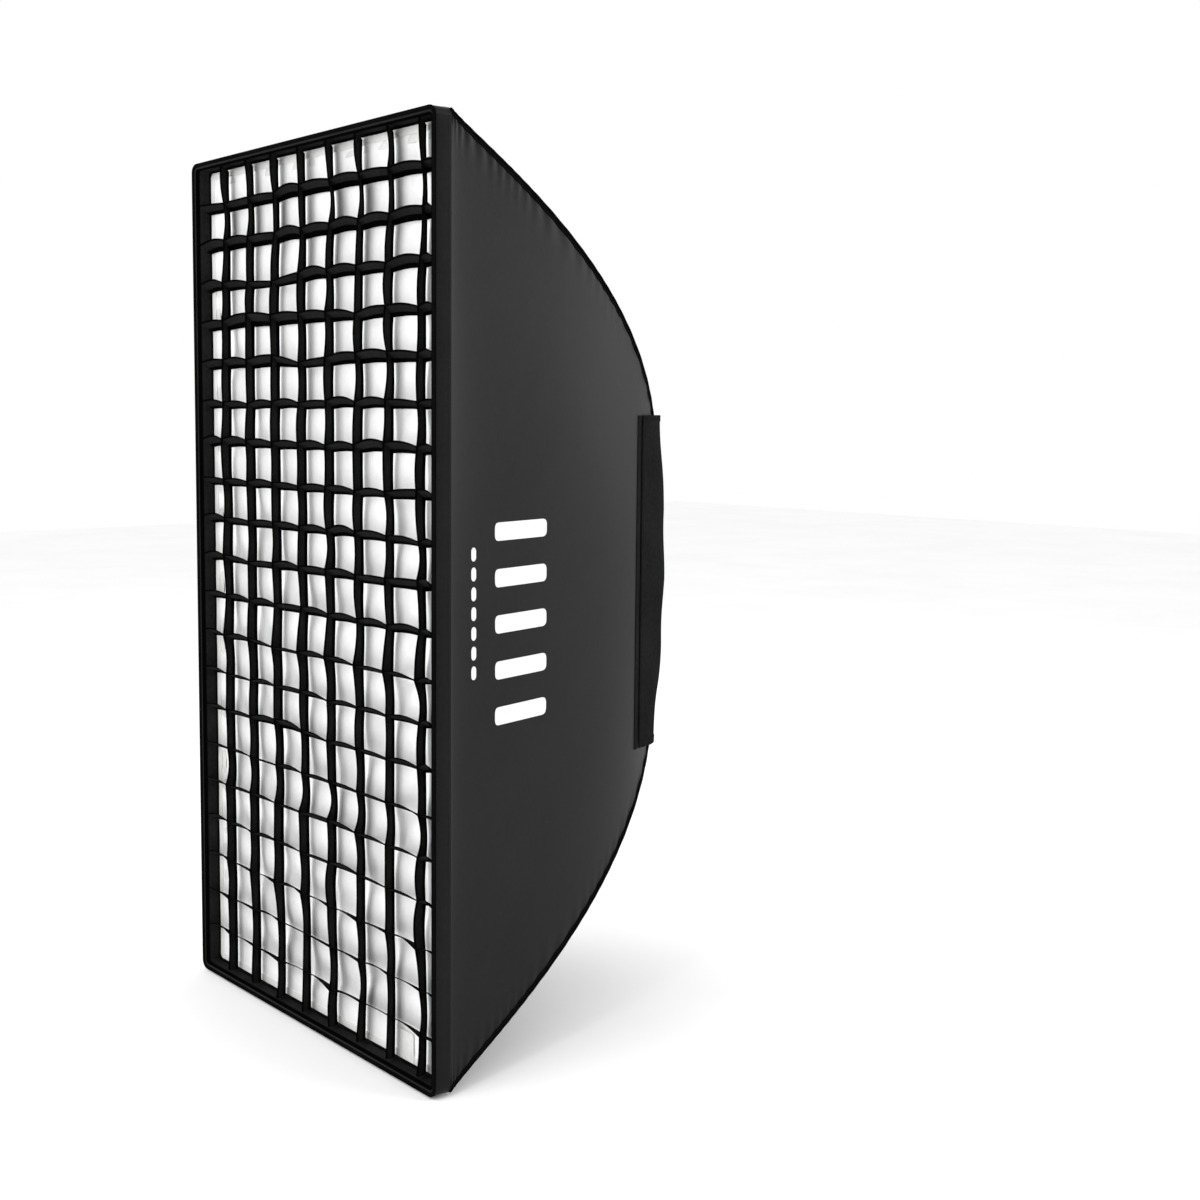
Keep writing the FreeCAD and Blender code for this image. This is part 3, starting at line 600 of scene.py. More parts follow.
def band(name: str, half: tuple[float, float], width: float, depth: tuple[float, float], corner: float,
         edge: float = 0.0005, ripple: float = 0.0) -> bpy.types.Object:
    """A closed flat band round an upright rectangle, mitred at its corners.

    Args:
        name: the piece's name.
        half: half width and half height of its outer side.
        width: how far it reaches inwards.
        depth: its lowest and highest y.
        corner: radius of its outer corners.
        edge: radius of its own edges.
        ripple: how far it may wave in y.

    Returns:
        The piece.
    """
    runs = (int(2 * half[0] / 0.014), int(2 * half[1] / 0.014))
    outer = rounded_loop(half, corner, runs)
    inner = rounded_loop((half[0] - width, half[1] - width), max(corner - width, 0.0012), runs)
    section = np.array(rounded_section((-width, 0.0), depth, edge))
    share = -section[:, 0] / width
    flat = outer[:, None] + (inner - outer)[:, None] * share[None, :, None]
    gone = np.arange(len(outer))
    wave = ripple * np.sin(gone * 0.9 + 1.3 * np.sin(gone * 0.31))
    rows, cols = flat.shape[:2]
    points = np.empty((rows, cols, 3))
    points[..., 0], points[..., 2] = flat[..., 0], flat[..., 1]
    points[..., 1] = section[None, :, 1] + wave[:, None]
    full = np.concatenate([points, points[:1]], axis=0)
    full = np.concatenate([full, full[:, :1]], axis=1)
    chart = np.stack([running_length(full, 1), running_length(full, 0)], axis=-1)
    faces, corners = [], []
    for r in range(rows):
        for c in range(cols):
            nr, nc = (r + 1) % rows, (c + 1) % cols
            faces.append((r * cols + c, r * cols + nc, nr * cols + nc, nr * cols + c))
            corners += [chart[r, c], chart[r, c + 1], chart[r + 1, c + 1], chart[r + 1, c]]
    return face_outwards(mesh_object(name, points.reshape(-1, 3), faces, np.array(corners)))


def rounded_section(out: tuple[float, float], depth: tuple[float, float],
                    radius: float) -> list[tuple[float, float]]:
    """Outline of a flat band with rounded edges.

    Args:
        out: its inner and outer offset outwards.
        depth: its lowest and highest y.
        radius: radius of its edges.

    Returns:
        The outline, as (outwards, y).
    """
    (a0, a1), (y0, y1) = out, depth
    outline = []
    for ca, cy, start in ((a1 - radius, y1 - radius, 0), (a0 + radius, y1 - radius, 90),
                          (a0 + radius, y0 + radius, 180), (a1 - radius, y0 + radius, 270)):
        for turn in np.radians(np.linspace(start, start + 90, 4)):
            outline.append((ca + radius * math.cos(turn), cy + radius * math.sin(turn)))
    return outline


def flattened(obj: bpy.types.Object) -> bpy.types.Object:
    """Replaces an object's mesh by its evaluated one and removes its modifiers.

    Args:
        obj: the object.

    Returns:
        The same object.
    """
    graph = bpy.context.evaluated_depsgraph_get()
    mesh = bpy.data.meshes.new_from_object(obj.evaluated_get(graph), depsgraph=graph)
    obj.modifiers.clear()
    old, obj.data = obj.data, mesh
    bpy.data.meshes.remove(old)
    return obj


# ------------------------------------------------------------------ stitching


@dataclass
class Stitching:
    """Rows of stitches laid along lines by geometry nodes."""

    pitch: float = 0.0045
    length: float = 0.003
    thickness: float = 0.0005
    finish: Cloth = BLACK_THREAD
    tree: Optional[bpy.types.GeometryNodeTree] = field(default=None, repr=False)

    def node_tree(self) -> bpy.types.GeometryNodeTree:
        """The tree that turns line meshes into stitches.

        Returns:
            The tree, with its named inputs.
        """
        tree = bpy.data.node_groups.new("stitch_rows", "GeometryNodeTree")
        face = tree.interface
        face.new_socket("Lines", in_out="INPUT", socket_type="NodeSocketGeometry")
        for name in ("Pitch", "Stitch Length", "Thread Thickness"):
            face.new_socket(name, in_out="INPUT", socket_type="NodeSocketFloat")
        face.new_socket("Thread", in_out="INPUT", socket_type="NodeSocketMaterial")
        face.new_socket("Stitches", in_out="OUTPUT", socket_type="NodeSocketGeometry")

        def add(kind: str, **settings: object) -> bpy.types.Node:
            """Adds a node to the tree.

            Args:
                kind: the node's type.
                settings: properties of the node.

            Returns:
                The new node.
            """
            made = tree.nodes.new(kind)
            for key, value in settings.items():
                setattr(made, key, value)
            return made

        given, result = add("NodeGroupInput"), add("NodeGroupOutput")
        curve = add("GeometryNodeMeshToCurve")
        spaced = add("GeometryNodeResampleCurve", mode="LENGTH")
        tangent = add("GeometryNodeInputTangent")
        turned = add("FunctionNodeAlignRotationToVector", axis="Z")
        thread = add("GeometryNodeMeshUVSphere")
        thread.inputs["Segments"].default_value = 6
        thread.inputs["Rings"].default_value = 4
        thread.inputs["Radius"].default_value = 0.5
        size = add("ShaderNodeCombineXYZ")
        placed = add("GeometryNodeInstanceOnPoints")
        real = add("GeometryNodeRealizeInstances")
        smooth = add("GeometryNodeSetShadeSmooth")
        dyed = add("GeometryNodeSetMaterial")
        for source, target in (
                (given.outputs["Lines"], curve.inputs[0]),
                (curve.outputs[0], spaced.inputs["Curve"]),
                (given.outputs["Pitch"], spaced.inputs["Length"]),
                (spaced.outputs[0], placed.inputs["Points"]),
                (thread.outputs["Mesh"], placed.inputs["Instance"]),
                (tangent.outputs[0], turned.inputs["Vector"]),
                (turned.outputs[0], placed.inputs["Rotation"]),
                (given.outputs["Thread Thickness"], size.inputs[0]),
                (given.outputs["Thread Thickness"], size.inputs[1]),
                (given.outputs["Stitch Length"], size.inputs[2]),
                (size.outputs[0], placed.inputs["Scale"]),
                (placed.outputs[0], real.inputs[0]),
                (real.outputs[0], smooth.inputs[0]),
                (smooth.outputs[0], dyed.inputs["Geometry"]),
                (given.outputs["Thread"], dyed.inputs["Material"]),
                (dyed.outputs[0], result.inputs[0])):
            tree.links.new(source, target)
        return tree

    def sew(self, name: str, lines: Sequence[np.ndarray], body: str,
            closed: bool = False) -> bpy.types.Object:
        """Sews rows of stitches.

        Args:
            name: the piece's name.
            lines: each row's points, in order.
            body: the body that the stitches ride on.
            closed: whether each row runs back to its start.

        Returns:
            The stitches, as a plain mesh.
        """
        if self.tree is None:
            self.tree = self.node_tree()
        points, edges = [], []
        for line in lines:
            start = len(points)
            points += [tuple(point) for point in line]
            edges += [(start + i, start + i + 1) for i in range(len(line) - 1)]
            if closed:
                edges.append((len(points) - 1, start))
        mesh = bpy.data.meshes.new(name)
        mesh.from_pydata(points, edges, [])
        obj = link(bpy.data.objects.new(name, mesh))
        modifier = obj.modifiers.new("stitches", "NODES")
        modifier.node_group = self.tree
        values = {"Pitch": self.pitch, "Stitch Length": self.length,
                  "Thread Thickness": self.thickness, "Thread": WARDROBE.get(self.finish)}
        for item in self.tree.interface.items_tree:
            if item.in_out == "INPUT" and item.name in values:
                modifier[item.identifier] = values[item.name]
        flattened(obj)
        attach(obj, body)
        log.info("%s: %d faces", name, len(obj.data.polygons))
        return obj


# ------------------------------------------------------------------ shell


@dataclass
class BowedEdge:
    """The curve by which the box narrows from its front lip to the hub."""

    half: float
    hub: float = 0.060
    lip: float = 0.025
    rear: float = 0.557
    knee_reach: float = 0.923
    knee_depth: float = 0.072
    shoulder_reach: float = 0.607

    def poles(self) -> np.ndarray:
        """The curve's Bezier poles.

        Returns:
            Four rows of (across, depth), front first.
        """
        span = self.half - self.hub
        return np.array([(self.half, self.lip), (self.hub + self.knee_reach * span, self.knee_depth),
                         (self.hub + self.shoulder_reach * span, self.rear), (self.hub, self.rear)])

    def at(self, u: np.ndarray) -> np.ndarray:
        """Points of the curve.

        Args:
            u: parameters, from 0 at the lip to 1 at the hub.

        Returns:
            One (across, depth) for each parameter.
        """
        u = np.asarray(u, float)[..., None]
        p, v = self.poles(), 1 - u
        return v ** 3 * p[0] + 3 * u * v ** 2 * p[1] + 3 * u * u * v * p[2] + u ** 3 * p[3]

    def reached(self, axis: int, value: float) -> float:
        """Halves its way to a place on the curve.

        Args:
            axis: 0 for the way across, which falls to the rear, or 1 for the depth, which rises.
            value: the value to reach.

        Returns:
            The parameter at which the curve has that value.
        """
        sense = 1 if axis else -1
        low, high = 0.0, 1.0
        for _ in range(50):
            middle = (low + high) / 2
            low, high = (middle, high) if sense * self.at(middle)[axis] < sense * value else (low, middle)
        return low

    def where(self, across: float) -> float:
        """The parameter at which the curve is that far across."""
        return self.reached(0, across)

    def depth_where(self, depth: float) -> float:
        """The parameter at which the curve is that deep."""
        return self.reached(1, depth)


@dataclass
class Panel:
    """One panel of the shell, as a skin whose places are given back from the lip and along the panel."""

    name: str
    sideways: bool
    sign: int
    rear_half: float
    half: float
    slope: float
    hub: float = 0.060
    pull_in: float = 0.0065
    pull_end: float = 0.69
    pucker: float = 0.0007
    pucker_room: float = 0.012
    pucker_spread: float = 0.010
    drift: float = 0.0012
    seam_round: float = 0.004
    lip_round: float = 0.008
    front: float = CAD_LOW.y

    def __post_init__(self) -> None:
        """Sets up the panel's edge curve."""
        self.edge = BowedEdge(self.half, self.hub)
        self.last = self.edge.where(self.rear_half)
        self.outward = (self.sign, 0.3, 0.0) if self.sideways else (0.0, 0.3, self.sign)

    def limit(self, u: np.ndarray) -> np.ndarray:
        """How far along the panel its corner line is."""
        return self.hub + (self.edge.at(u)[..., 0] - self.hub) * self.slope

    def skin(self, u: np.ndarray, along: np.ndarray) -> np.ndarray:
        """Points of the panel's outer side.

        Args:
            u: parameters back along the bowed edge, from 0 at the lip.
            along: places along the panel from its middle, in metres, of the same shape.

        Returns:
            The points, rounded off towards the corner seams and pulled in between the rods.
        """
        limit = self.limit(u)
        base = self.edge.at(u)
        ahead = self.edge.at(np.minimum(u + 1e-3, 1.0)) - self.edge.at(np.maximum(u - 1e-3, 0.0))
        ahead /= np.linalg.norm(ahead, axis=-1, keepdims=True)
        inward = np.stack([-ahead[..., 1], ahead[..., 0]], axis=-1)
        v = np.clip(along / limit, -1.0, 1.0)
        room = limit - np.abs(along)
        waist = np.sin(np.pi * np.clip(u / self.pull_end, 0.0, 1.0)) ** 1.2
        dip = self.pull_in * waist * (1 - v ** 2)
        pucker = (self.pucker * np.exp(-((room - self.pucker_room) / self.pucker_spread) ** 2)
                  * np.sin(u * 190 + 3 * np.sin(u * 23)))
        drift = self.drift * np.sin(u * 7.3 + v * 2.1) * np.sin(v * 5.7 - u * 3.1) * (1 - v ** 4) * waist
        shift = (dip + pucker + drift)[..., None]
        radius = self.seam_round + self.lip_round * np.exp(-u / 0.12)
        turn = np.clip(1 - room / radius, 0.0, 1.0) * math.pi / 4
        across = base[..., 0] - radius * (1 - np.cos(turn))
        reach = np.where(turn > 0, limit - radius + radius * np.sin(turn), np.abs(along))
        local = np.stack([across, self.front + base[..., 1], np.sign(along) * reach], axis=-1)
        local[..., :2] += inward * shift
        if self.sideways:
            return local * np.array([self.sign, 1, 1])
        return local[..., [2, 1, 0]] * np.array([1, 1, self.sign])

    def patch(self, u: tuple[float, float], along: tuple[float, float], lift: float,
              cells: tuple[int, int] = (8, 16), corner: float = 0.0) -> np.ndarray:
        """A piece of the skin, lifted off it.

        Args:
            u: first and last parameter back from the lip.
            along: first and last place along the panel.
            lift: how far the piece stands off the outer side.
            cells: how many cells it has each way.
            corner: radius of its corners.

        Returns:
            Grid of points.
        """
        s, t = np.meshgrid(np.sin(np.linspace(-0.5, 0.5, cells[0] + 1) * math.pi),
                           np.linspace(-1, 1, cells[1] + 1), indexing="ij")
        room = (1 - np.abs(s)) * np.linalg.norm(self.edge.at(u[1]) - self.edge.at(u[0])) / 2
        cut = corner - np.sqrt(np.maximum(corner ** 2 - np.maximum(corner - room, 0) ** 2, 0))
        t = t * (1 - 2 * cut / abs(along[1] - along[0]))
        points = self.skin(u[0] + (u[1] - u[0]) * (s + 1) / 2,
                           along[0] + (along[1] - along[0]) * (t + 1) / 2)
        return points + surface_normals(points, self.outward) * lift

    def cloth(self) -> np.ndarray:
        """The whole panel.

        Returns:
            Grid of points, close together near the seams.
        """
        rooms = np.array([0.0004, 0.0014, 0.003, 0.005, 0.008, 0.012, 0.017, 0.024])
        rows, middle = (100, 60) if self.sideways else (104, 44)
        u = np.linspace(0.0, self.last, rows)[:, None]
        limit = self.limit(u)
        inner = limit - rooms[-1]
        low = -(limit - rooms[None, :])
        between = inner * np.linspace(-1, 1, middle)[None, 1:-1]
        along = np.concatenate([low, between, -low[:, ::-1]], axis=1)
        return self.skin(np.broadcast_to(u, along.shape), along)


@dataclass
class Shell:
    """Fabric shell: four bowed panels, their corner bindings, and the plain printed marks."""

    half_width: float = 0.300
    half_height: float = 0.600
    hub: float = 0.060
    wall: float = 0.0012
    binding_width: float = 0.0075
    binding_wall: float = 0.0009
    bead: float = 0.0024
    bar_span: tuple[float, float] = (0.2273, 0.3834)
    bar_run: tuple[float, float] = (-0.150, -0.127)
    bar_pitch: float = 0.0583
    dash_span: tuple[float, float] = (0.138, 0.158)
    dash_run: tuple[float, float] = (-0.086, -0.0688)
    dash_pitch: float = 0.0245

    def __post_init__(self) -> None:
        """Lays out the four panels."""
        slope = (self.half_height - self.hub) / (self.half_width - self.hub)
        self.panels = {
            "panel_right": Panel("panel_right", True, 1, 0.140, self.half_width, slope),
            "panel_left": Panel("panel_left", True, -1, 0.140, self.half_width, slope),
            "panel_top": Panel("panel_top", False, 1, 0.104, self.half_height, 1 / slope),
            "panel_bottom": Panel("panel_bottom", False, -1, 0.104, self.half_height, 1 / slope),
        }

    def panel(self, panel: Panel) -> None:
        """One panel of shell fabric, black outside and silver inside.

        Args:
            panel: where it lies.
        """
        points = panel.cloth()
        piece = sheet(f"{panel.name}_cloth", points, self.wall, panel.outward)
        wear(piece, "softbox", "shell_fabric", BLACK_NYLON, SILVER_LINING, replaces=(panel.name,))

    def binding(self, side: Side, level: Level) -> list[np.ndarray]:
        """The tape folded over a corner seam, with a round bead on the corner itself.

        Args:
            side: which side the seam is on.
            level: the upper or the lower seam.

        Returns:
            The lines that its two rows of stitches follow.
        """
        flank = self.panels[f"panel_{side.name.lower()}"]
        end = self.panels[f"panel_{level.name.lower()}"]
        rooms = np.array([1.0, 0.8, 0.6, 0.45, 0.3, 0.18, 0.07]) * self.binding_width
        u = np.broadcast_to(np.linspace(0.004, 0.93, 170)[:, None], (170, len(rooms)))
        near = flank.skin(u, level.value * (flank.limit(u) - rooms))
        far = end.skin(u, side.value * (end.limit(u) - rooms))[:, ::-1]
        grid = np.concatenate([near, far], axis=1)
        normals = surface_normals(grid, (side.value, 0.3, level.value))
        spread = np.concatenate([rooms, rooms[::-1]]) / 0.0034
        rise = self.binding_wall + self.bead * np.sqrt(np.clip(1 - spread ** 2, 0, 1))
        tag = f"{level.name.lower()}_{side.name.lower()}"
        piece = sheet(f"corner_binding_{tag}", grid + normals * rise[None, :, None], self.binding_wall,
                      (side.value, 0.3, level.value))
        wear(piece, "softbox", "black_tape", BINDING, BINDING, replaces=(f"piping_{tag}",))
        lifted = grid + normals * (self.binding_wall + 0.0001)
        return [lifted[:, 1], lifted[:, -2]]

    def prints(self, side: Side) -> None:
        """Plain white bars and a dashed line.

        Args:
            side: the side they are printed on.
        """
        flank = self.panels[f"panel_{side.name.lower()}"]
        bars = [(self.bar_span, tuple(end + self.bar_pitch * step for end in self.bar_run))
                for step in range(5)]
        dashes = [(self.dash_span, tuple(end + self.dash_pitch * step for end in self.dash_run))
                  for step in range(7)]
        for index, (u, along) in enumerate(bars + dashes):
            grid = flank.patch(u, along, 0.0004, (18, 10), 0.3 * (along[1] - along[0]))
            piece = sheet(f"print_{side.name.lower()}_{index}", grid, 0.0003, flank.outward)
            wear(piece, "softbox", "white_tape", WHITE_PRINT, WHITE_PRINT)

    def tape(self, name: str, panel: Panel, depth: tuple[float, float], along: tuple[float, float],
             finish: Cloth, lift: float = 0.0009, cells: tuple[int, int] = (4, 60)) -> bpy.types.Object:
        """A tape sewn on a panel's outer side.

        Args:
            name: the piece's name.
            panel: the panel it is sewn on.
            depth: its first and last depth.
            along: its first and last place along the panel.
            finish: what it is made of.
            lift: how far its outer side stands off the panel.
            cells: how many cells it has each way.

        Returns:
            The tape.
        """
        u = tuple(panel.edge.depth_where(value) for value in depth)
        piece = sheet(name, panel.patch(u, along, lift, cells), lift * 0.8, panel.outward)
        WARDROBE.dress(piece, finish, finish)
        return piece

    def tapes(self) -> None:
        """The rear flaps' seam tapes, and the hook patches that the flaps press onto."""
        for side in Side:
            tag = side.name.lower()
            panel = self.panels[f"panel_{tag}"]
            piece = self.tape(f"flap_seam_tape_{tag}", panel, (0.443, 0.4545), (-0.238, 0.238),
                              FLAP_NYLON)
            wear(piece, "softbox", "black_tape", replaces=(f"seam_tape_{tag}",))
        patches = [self.tape(f"hook_patch_{level.name}_{side.name}",
                             self.panels[f"panel_{level.name.lower()}"], (0.512, 0.524),
                             tuple(sorted((side.value * 0.092, side.value * 0.116))), HOOK_TAPE, 0.0014,
                             (6, 10)) for side in Side for level in Level]
        piece = joined("gusset_hook_patches", patches)
        WARDROBE.dress(piece, HOOK_TAPE, HOOK_TAPE)
        wear(piece, "softbox", "black_tape", replaces=("gusset_hook_tapes",))

    def build(self) -> None:
        """Makes the shell."""
        for panel in self.panels.values():
            self.panel(panel)
        seams = [line for side in Side for level in Level for line in self.binding(side, level)]
        for side in Side:
            self.prints(side)
        self.tapes()
        Stitching().sew("corner_stitches", seams, "softbox")


# ------------------------------------------------------------------ lip


@dataclass
class FlatBand:
    """A band round an upright rectangle that stands for a CAD frame."""

    name: str
    node: str
    body: str
    slot: str
    finish: Cloth
    width: float
    corner: float = 0.008
    edge: float = 0.0004
    ripple: float = 0.0

    def build(self) -> bpy.types.Object:
        """Makes the band where its CAD node is.

        Returns:
            The band.
        """
        low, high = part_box(self.node)
        piece = band(self.name, (high.x, high.z), self.width, (low.y, high.y), self.corner, self.edge,
                     self.ripple)
        return wear(piece, self.body, self.slot, self.finish, replaces=(self.node,))


@dataclass
class Lip:
    """The stiffened lip round the front, its binding, tapes, inner ledge and corner patches."""

    corner: float = 0.012
    wall: float = 0.004
    depth: float = 0.0253
    binding: float = 0.0032
    front: float = CAD_LOW.y

    def bands(self) -> None:
        """The lip's fabric, its folded edge binding, the tapes inside it and the ledge."""
        low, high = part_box("front_rim")
        half = (high.x, high.z)
        fabric = band("lip_fabric", half, self.wall, (self.front + 0.001, self.front + self.depth),
                      self.corner, 0.001)
        wear(fabric, "softbox", "shell_fabric", BLACK_NYLON, replaces=("front_rim",))
        proud = 0.0007
        edge = band("lip_edge_binding", (half[0] + proud, half[1] + proud), self.wall + 2 * proud,
                    (self.front - 0.0005, self.front + self.binding), self.corner + proud, 0.0016)
        wear(edge, "softbox", "black_tape", BINDING, replaces=("edge_tape",))
        for part in (
                FlatBand("lip_hook_band", "rim_hook_tape", "softbox", "black_tape", HOOK_TAPE, 0.0012,
                         0.009),
                FlatBand("ledge_band", "ledge", "softbox", "shell_fabric", LEDGE_NYLON, 0.030, 0.010,
                         ripple=0.0003),
                FlatBand("ledge_hook_band", "ledge_hook_tape", "softbox", "black_tape", HOOK_TAPE, 0.020)):
            part.build()

    def stitches(self) -> None:
        """Rows of stitches on the lip's outer side."""
        low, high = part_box("front_rim")
        rows = []
        for proud, depth in ((0.0002, self.binding + 0.0018), (0.0002, self.depth - 0.0035)):
            loop = rounded_loop((high.x + proud, high.z + proud), self.corner, (44, 88))
            rows.append(np.stack([loop[:, 0], np.full(len(loop), self.front + depth), loop[:, 1]], axis=-1))
        Stitching().sew("lip_stitches", rows, "softbox", closed=True)

    def corner_patches(self) -> None:
        """Doubled patches behind the ledge's corners, with a sewn box, where the rods press."""
        low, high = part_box("corner_patches")
        size, patches, boxes = 0.055, [], []
        for side in Side:
            for level in Level:
                s, t = np.meshgrid(np.linspace(-1, 1, 13), np.linspace(-1, 1, 13), indexing="ij")
                s, t = s * np.sqrt(1 - 0.12 * t ** 2), t * np.sqrt(1 - 0.12 * s ** 2)
                centre = (side.value * (high.x - size / 2), level.value * (high.z - size / 2))
                grid = np.stack([centre[0] + s * size / 2,
                                 high.y + 0.0003 * np.cos(3 * s) * np.cos(2 * t),
                                 centre[1] + t * size / 2], -1)
                patches.append(sheet(f"patch_{side.name}_{level.name}", grid, 0.0012, (0, 1, 0)))
                square = np.array([(-1, -1), (1, -1), (1, 1), (-1, 1)]) * (size / 2 - 0.004)
                boxes.append(np.array([(centre[0] + a, high.y + 0.0005, centre[1] + b) for a, b in square]))
        piece = joined("rod_corner_patches", patches)
        wear(piece, "softbox", "black_tape", TAPE, TAPE, replaces=("corner_patches",))
        Stitching().sew("corner_patch_stitches", boxes, "softbox", closed=True)

    def build(self) -> None:
        """Makes the lip."""
        self.bands()
        self.stitches()
        self.corner_patches()


# ------------------------------------------------------------------ cloths


@dataclass
class Slack:
    """Cloth simulation settings for a sheet that hangs from its hems."""

    growth: float = 0.010
    frames: int = 22
    limit: float = 0.006
    gravity: float = 1.0
    stiffness: float = 12.0
    bending: float = 0.15

    def settle(self, points: np.ndarray, toward: float) -> np.ndarray:
        """Lets a sheet relax between its pinned edges.

        Args:
            points: flat grid of points.
            toward: 1 if the sheet may only belly towards +Y, -1 towards -Y.

        Returns:
            The settled grid, no further than `limit` from where it was.
        """
        rows, cols = points.shape[:2]
        noise = np.random.default_rng(SEED)
        start = points.copy()
        start[..., 1] += toward * noise.uniform(0.0, 0.0006, points.shape[:2])
        obj = mesh_object("settling", start.reshape(-1, 3), quads_of(rows, cols))
        pins = obj.vertex_groups.new(name="pins")
        border = [r * cols + c for r in range(rows) for c in range(cols)
                  if r in (0, rows - 1) or c in (0, cols - 1)]
        pins.add(border, 1.0, "REPLACE")
        modifier = obj.modifiers.new("cloth", "CLOTH")
        settings = modifier.settings
        settings.quality = 6
        settings.mass = 0.15
        settings.tension_stiffness = settings.compression_stiffness = self.stiffness
        settings.shear_stiffness = self.stiffness / 2
        settings.bending_stiffness = self.bending
        settings.shrink_min = -self.growth
        settings.vertex_group_mass = "pins"
        settings.effector_weights.gravity = self.gravity
        modifier.collision_settings.use_collision = False
        modifier.point_cache.frame_start, modifier.point_cache.frame_end = 1, self.frames
        scene = bpy.context.scene
        for number in range(1, self.frames + 1):
            scene.frame_set(number)
        graph = bpy.context.evaluated_depsgraph_get()
        moved = obj.evaluated_get(graph).to_mesh()
        settled = np.empty(rows * cols * 3, np.float32)
        moved.vertices.foreach_get("co", settled)
        scene.frame_set(1)
        bpy.data.objects.remove(obj)
        shift = settled.reshape(points.shape).astype(float) - points
        shift[..., 1] = toward * np.clip(toward * shift[..., 1], 0.0, self.limit)
        shift[..., [0, 2]] = np.clip(shift[..., [0, 2]], -self.limit, self.limit)
        return points + shift


def flat_grid(half_x: float, half_z: float, y: float, cell: float) -> np.ndarray:
    """A flat upright grid of points.

    Args:
        half_x: half its width.
        half_z: half its height.
        y: where it stands.
        cell: about how far its points are apart.

    Returns:
        The grid.
    """
    xs = np.linspace(-half_x, half_x, int(2 * half_x / cell) + 1)
    zs = np.linspace(-half_z, half_z, int(2 * half_z / cell) + 1)
    grid = np.empty((len(zs), len(xs), 3))
    grid[..., 0], grid[..., 2] = np.meshgrid(xs, zs)
    grid[..., 1] = y
    return grid


def smoothly_doubled(points: np.ndarray) -> np.ndarray:
    """Puts a point between each pair of a grid's points, on smooth curves through them.

    Args:
        points: the grid.

    Returns:
        The finer grid.
    """
    for axis in (0, 1):
        padded = np.concatenate([np.take(points, [0], axis), points, np.take(points, [-1], axis)], axis)
        count = points.shape[axis]
        take = lambda start: np.take(padded, range(start, start + count - 1), axis)
        between = (9 * (take(1) + take(2)) - take(0) - np.take(padded, range(3, count + 2), axis)) / 16
        shape = list(points.shape)
        shape[axis] = 2 * count - 1
        merged = np.empty(shape)
        index = [slice(None)] * points.ndim
        index[axis] = slice(0, None, 2)
        merged[tuple(index)] = points
        index[axis] = slice(1, None, 2)
        merged[tuple(index)] = between
        points = merged
    return points


@dataclass
class DiffusionCloth:
    """A white cloth with a stitched hem: the front diffuser or the inner baffle."""

    name: str
    cad_cloth: str
    cad_hem: str
    body: str
    toward: float
    cell: float = 0.014
    hem_corner: float = 0.006
    slack: Slack = field(default_factory=Slack)

    def cloth(self) -> None:
        """The cloth itself, slack between its hems."""
        low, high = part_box(self.cad_cloth)
        half_x, half_z = high.x + 0.003, high.z + 0.003
        grid = flat_grid(half_x, half_z, (low.y + high.y) / 2, self.cell)
        grid = self.slack.settle(grid, self.toward)
        piece = sheet(self.name, smoothly_doubled(grid), 0.0008, (0, -1, 0))
        wear(piece, self.body, "white_cloth", WHITE_DIFFUSION, WHITE_DIFFUSION, replaces=(self.cad_cloth,))

    def hem(self) -> None:
        """The folded hem and its two rows of stitches."""
        low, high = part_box(self.cad_hem)
        width = high.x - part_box(self.cad_cloth)[1].x + 0.002
        piece = band(f"{self.name}_hem", (high.x, high.z), width, (low.y, high.y), self.hem_corner,
                     0.0005, 0.0002)
        wear(piece, self.body, "white_tape", WHITE_TAPE, replaces=(self.cad_hem,))
        rows = []
        for inset in (0.002, width - 0.002):
            loop = rounded_loop((high.x - inset, high.z - inset), self.hem_corner, (40, 80))
            rows.append(np.stack([loop[:, 0], np.full(len(loop), low.y - 0.0002), loop[:, 1]], axis=-1))
        Stitching(finish=WHITE_THREAD).sew(f"{self.name}_stitches", rows, self.body, closed=True)

    def build(self) -> None:
        """Makes the cloth and its hem."""
        self.cloth()
        self.hem()


@dataclass
class PullTab:
    """The pull tab and the loop tape of the front diffuser."""

    thickness: float = 0.0007

    def build(self) -> None:
        """Makes the tab with its box of stitches, and the loop tape."""
        FlatBand("diffuser_loop_band", "diffuser_loop_tape", "front_diffuser", "white_tape", WHITE_LOOP,
                 0.020).build()
        low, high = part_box("diffuser_pull_tab")
        z = np.linspace(low.z + 0.001, high.z, 14)
        x = np.linspace(low.x, high.x, 8)
        grid = np.empty((len(z), len(x), 3))
        grid[..., 0], grid[..., 2] = np.meshgrid(x, z)
        gone = (grid[..., 2] - low.z) / (high.z - low.z)
        grid[..., 1] = low.y + 0.0002 - 0.0002 * gone
        piece = sheet("diffuser_tab", grid, self.thickness, (0, -1, 0))
        wear(piece, "front_diffuser", "white_tape", WHITE_TAPE, WHITE_TAPE, replaces=("diffuser_pull_tab",))
        y = low.y - 0.0001
        inset, top = 0.004, low.z + 0.018
        frame_line = np.array([(low.x + inset, y, low.z + inset), (high.x - inset, y, low.z + inset),
                               (high.x - inset, y, top), (low.x + inset, y, top)])
        Stitching(finish=WHITE_THREAD).sew("diffuser_tab_stitches", [frame_line], "front_diffuser",
                                           closed=True)


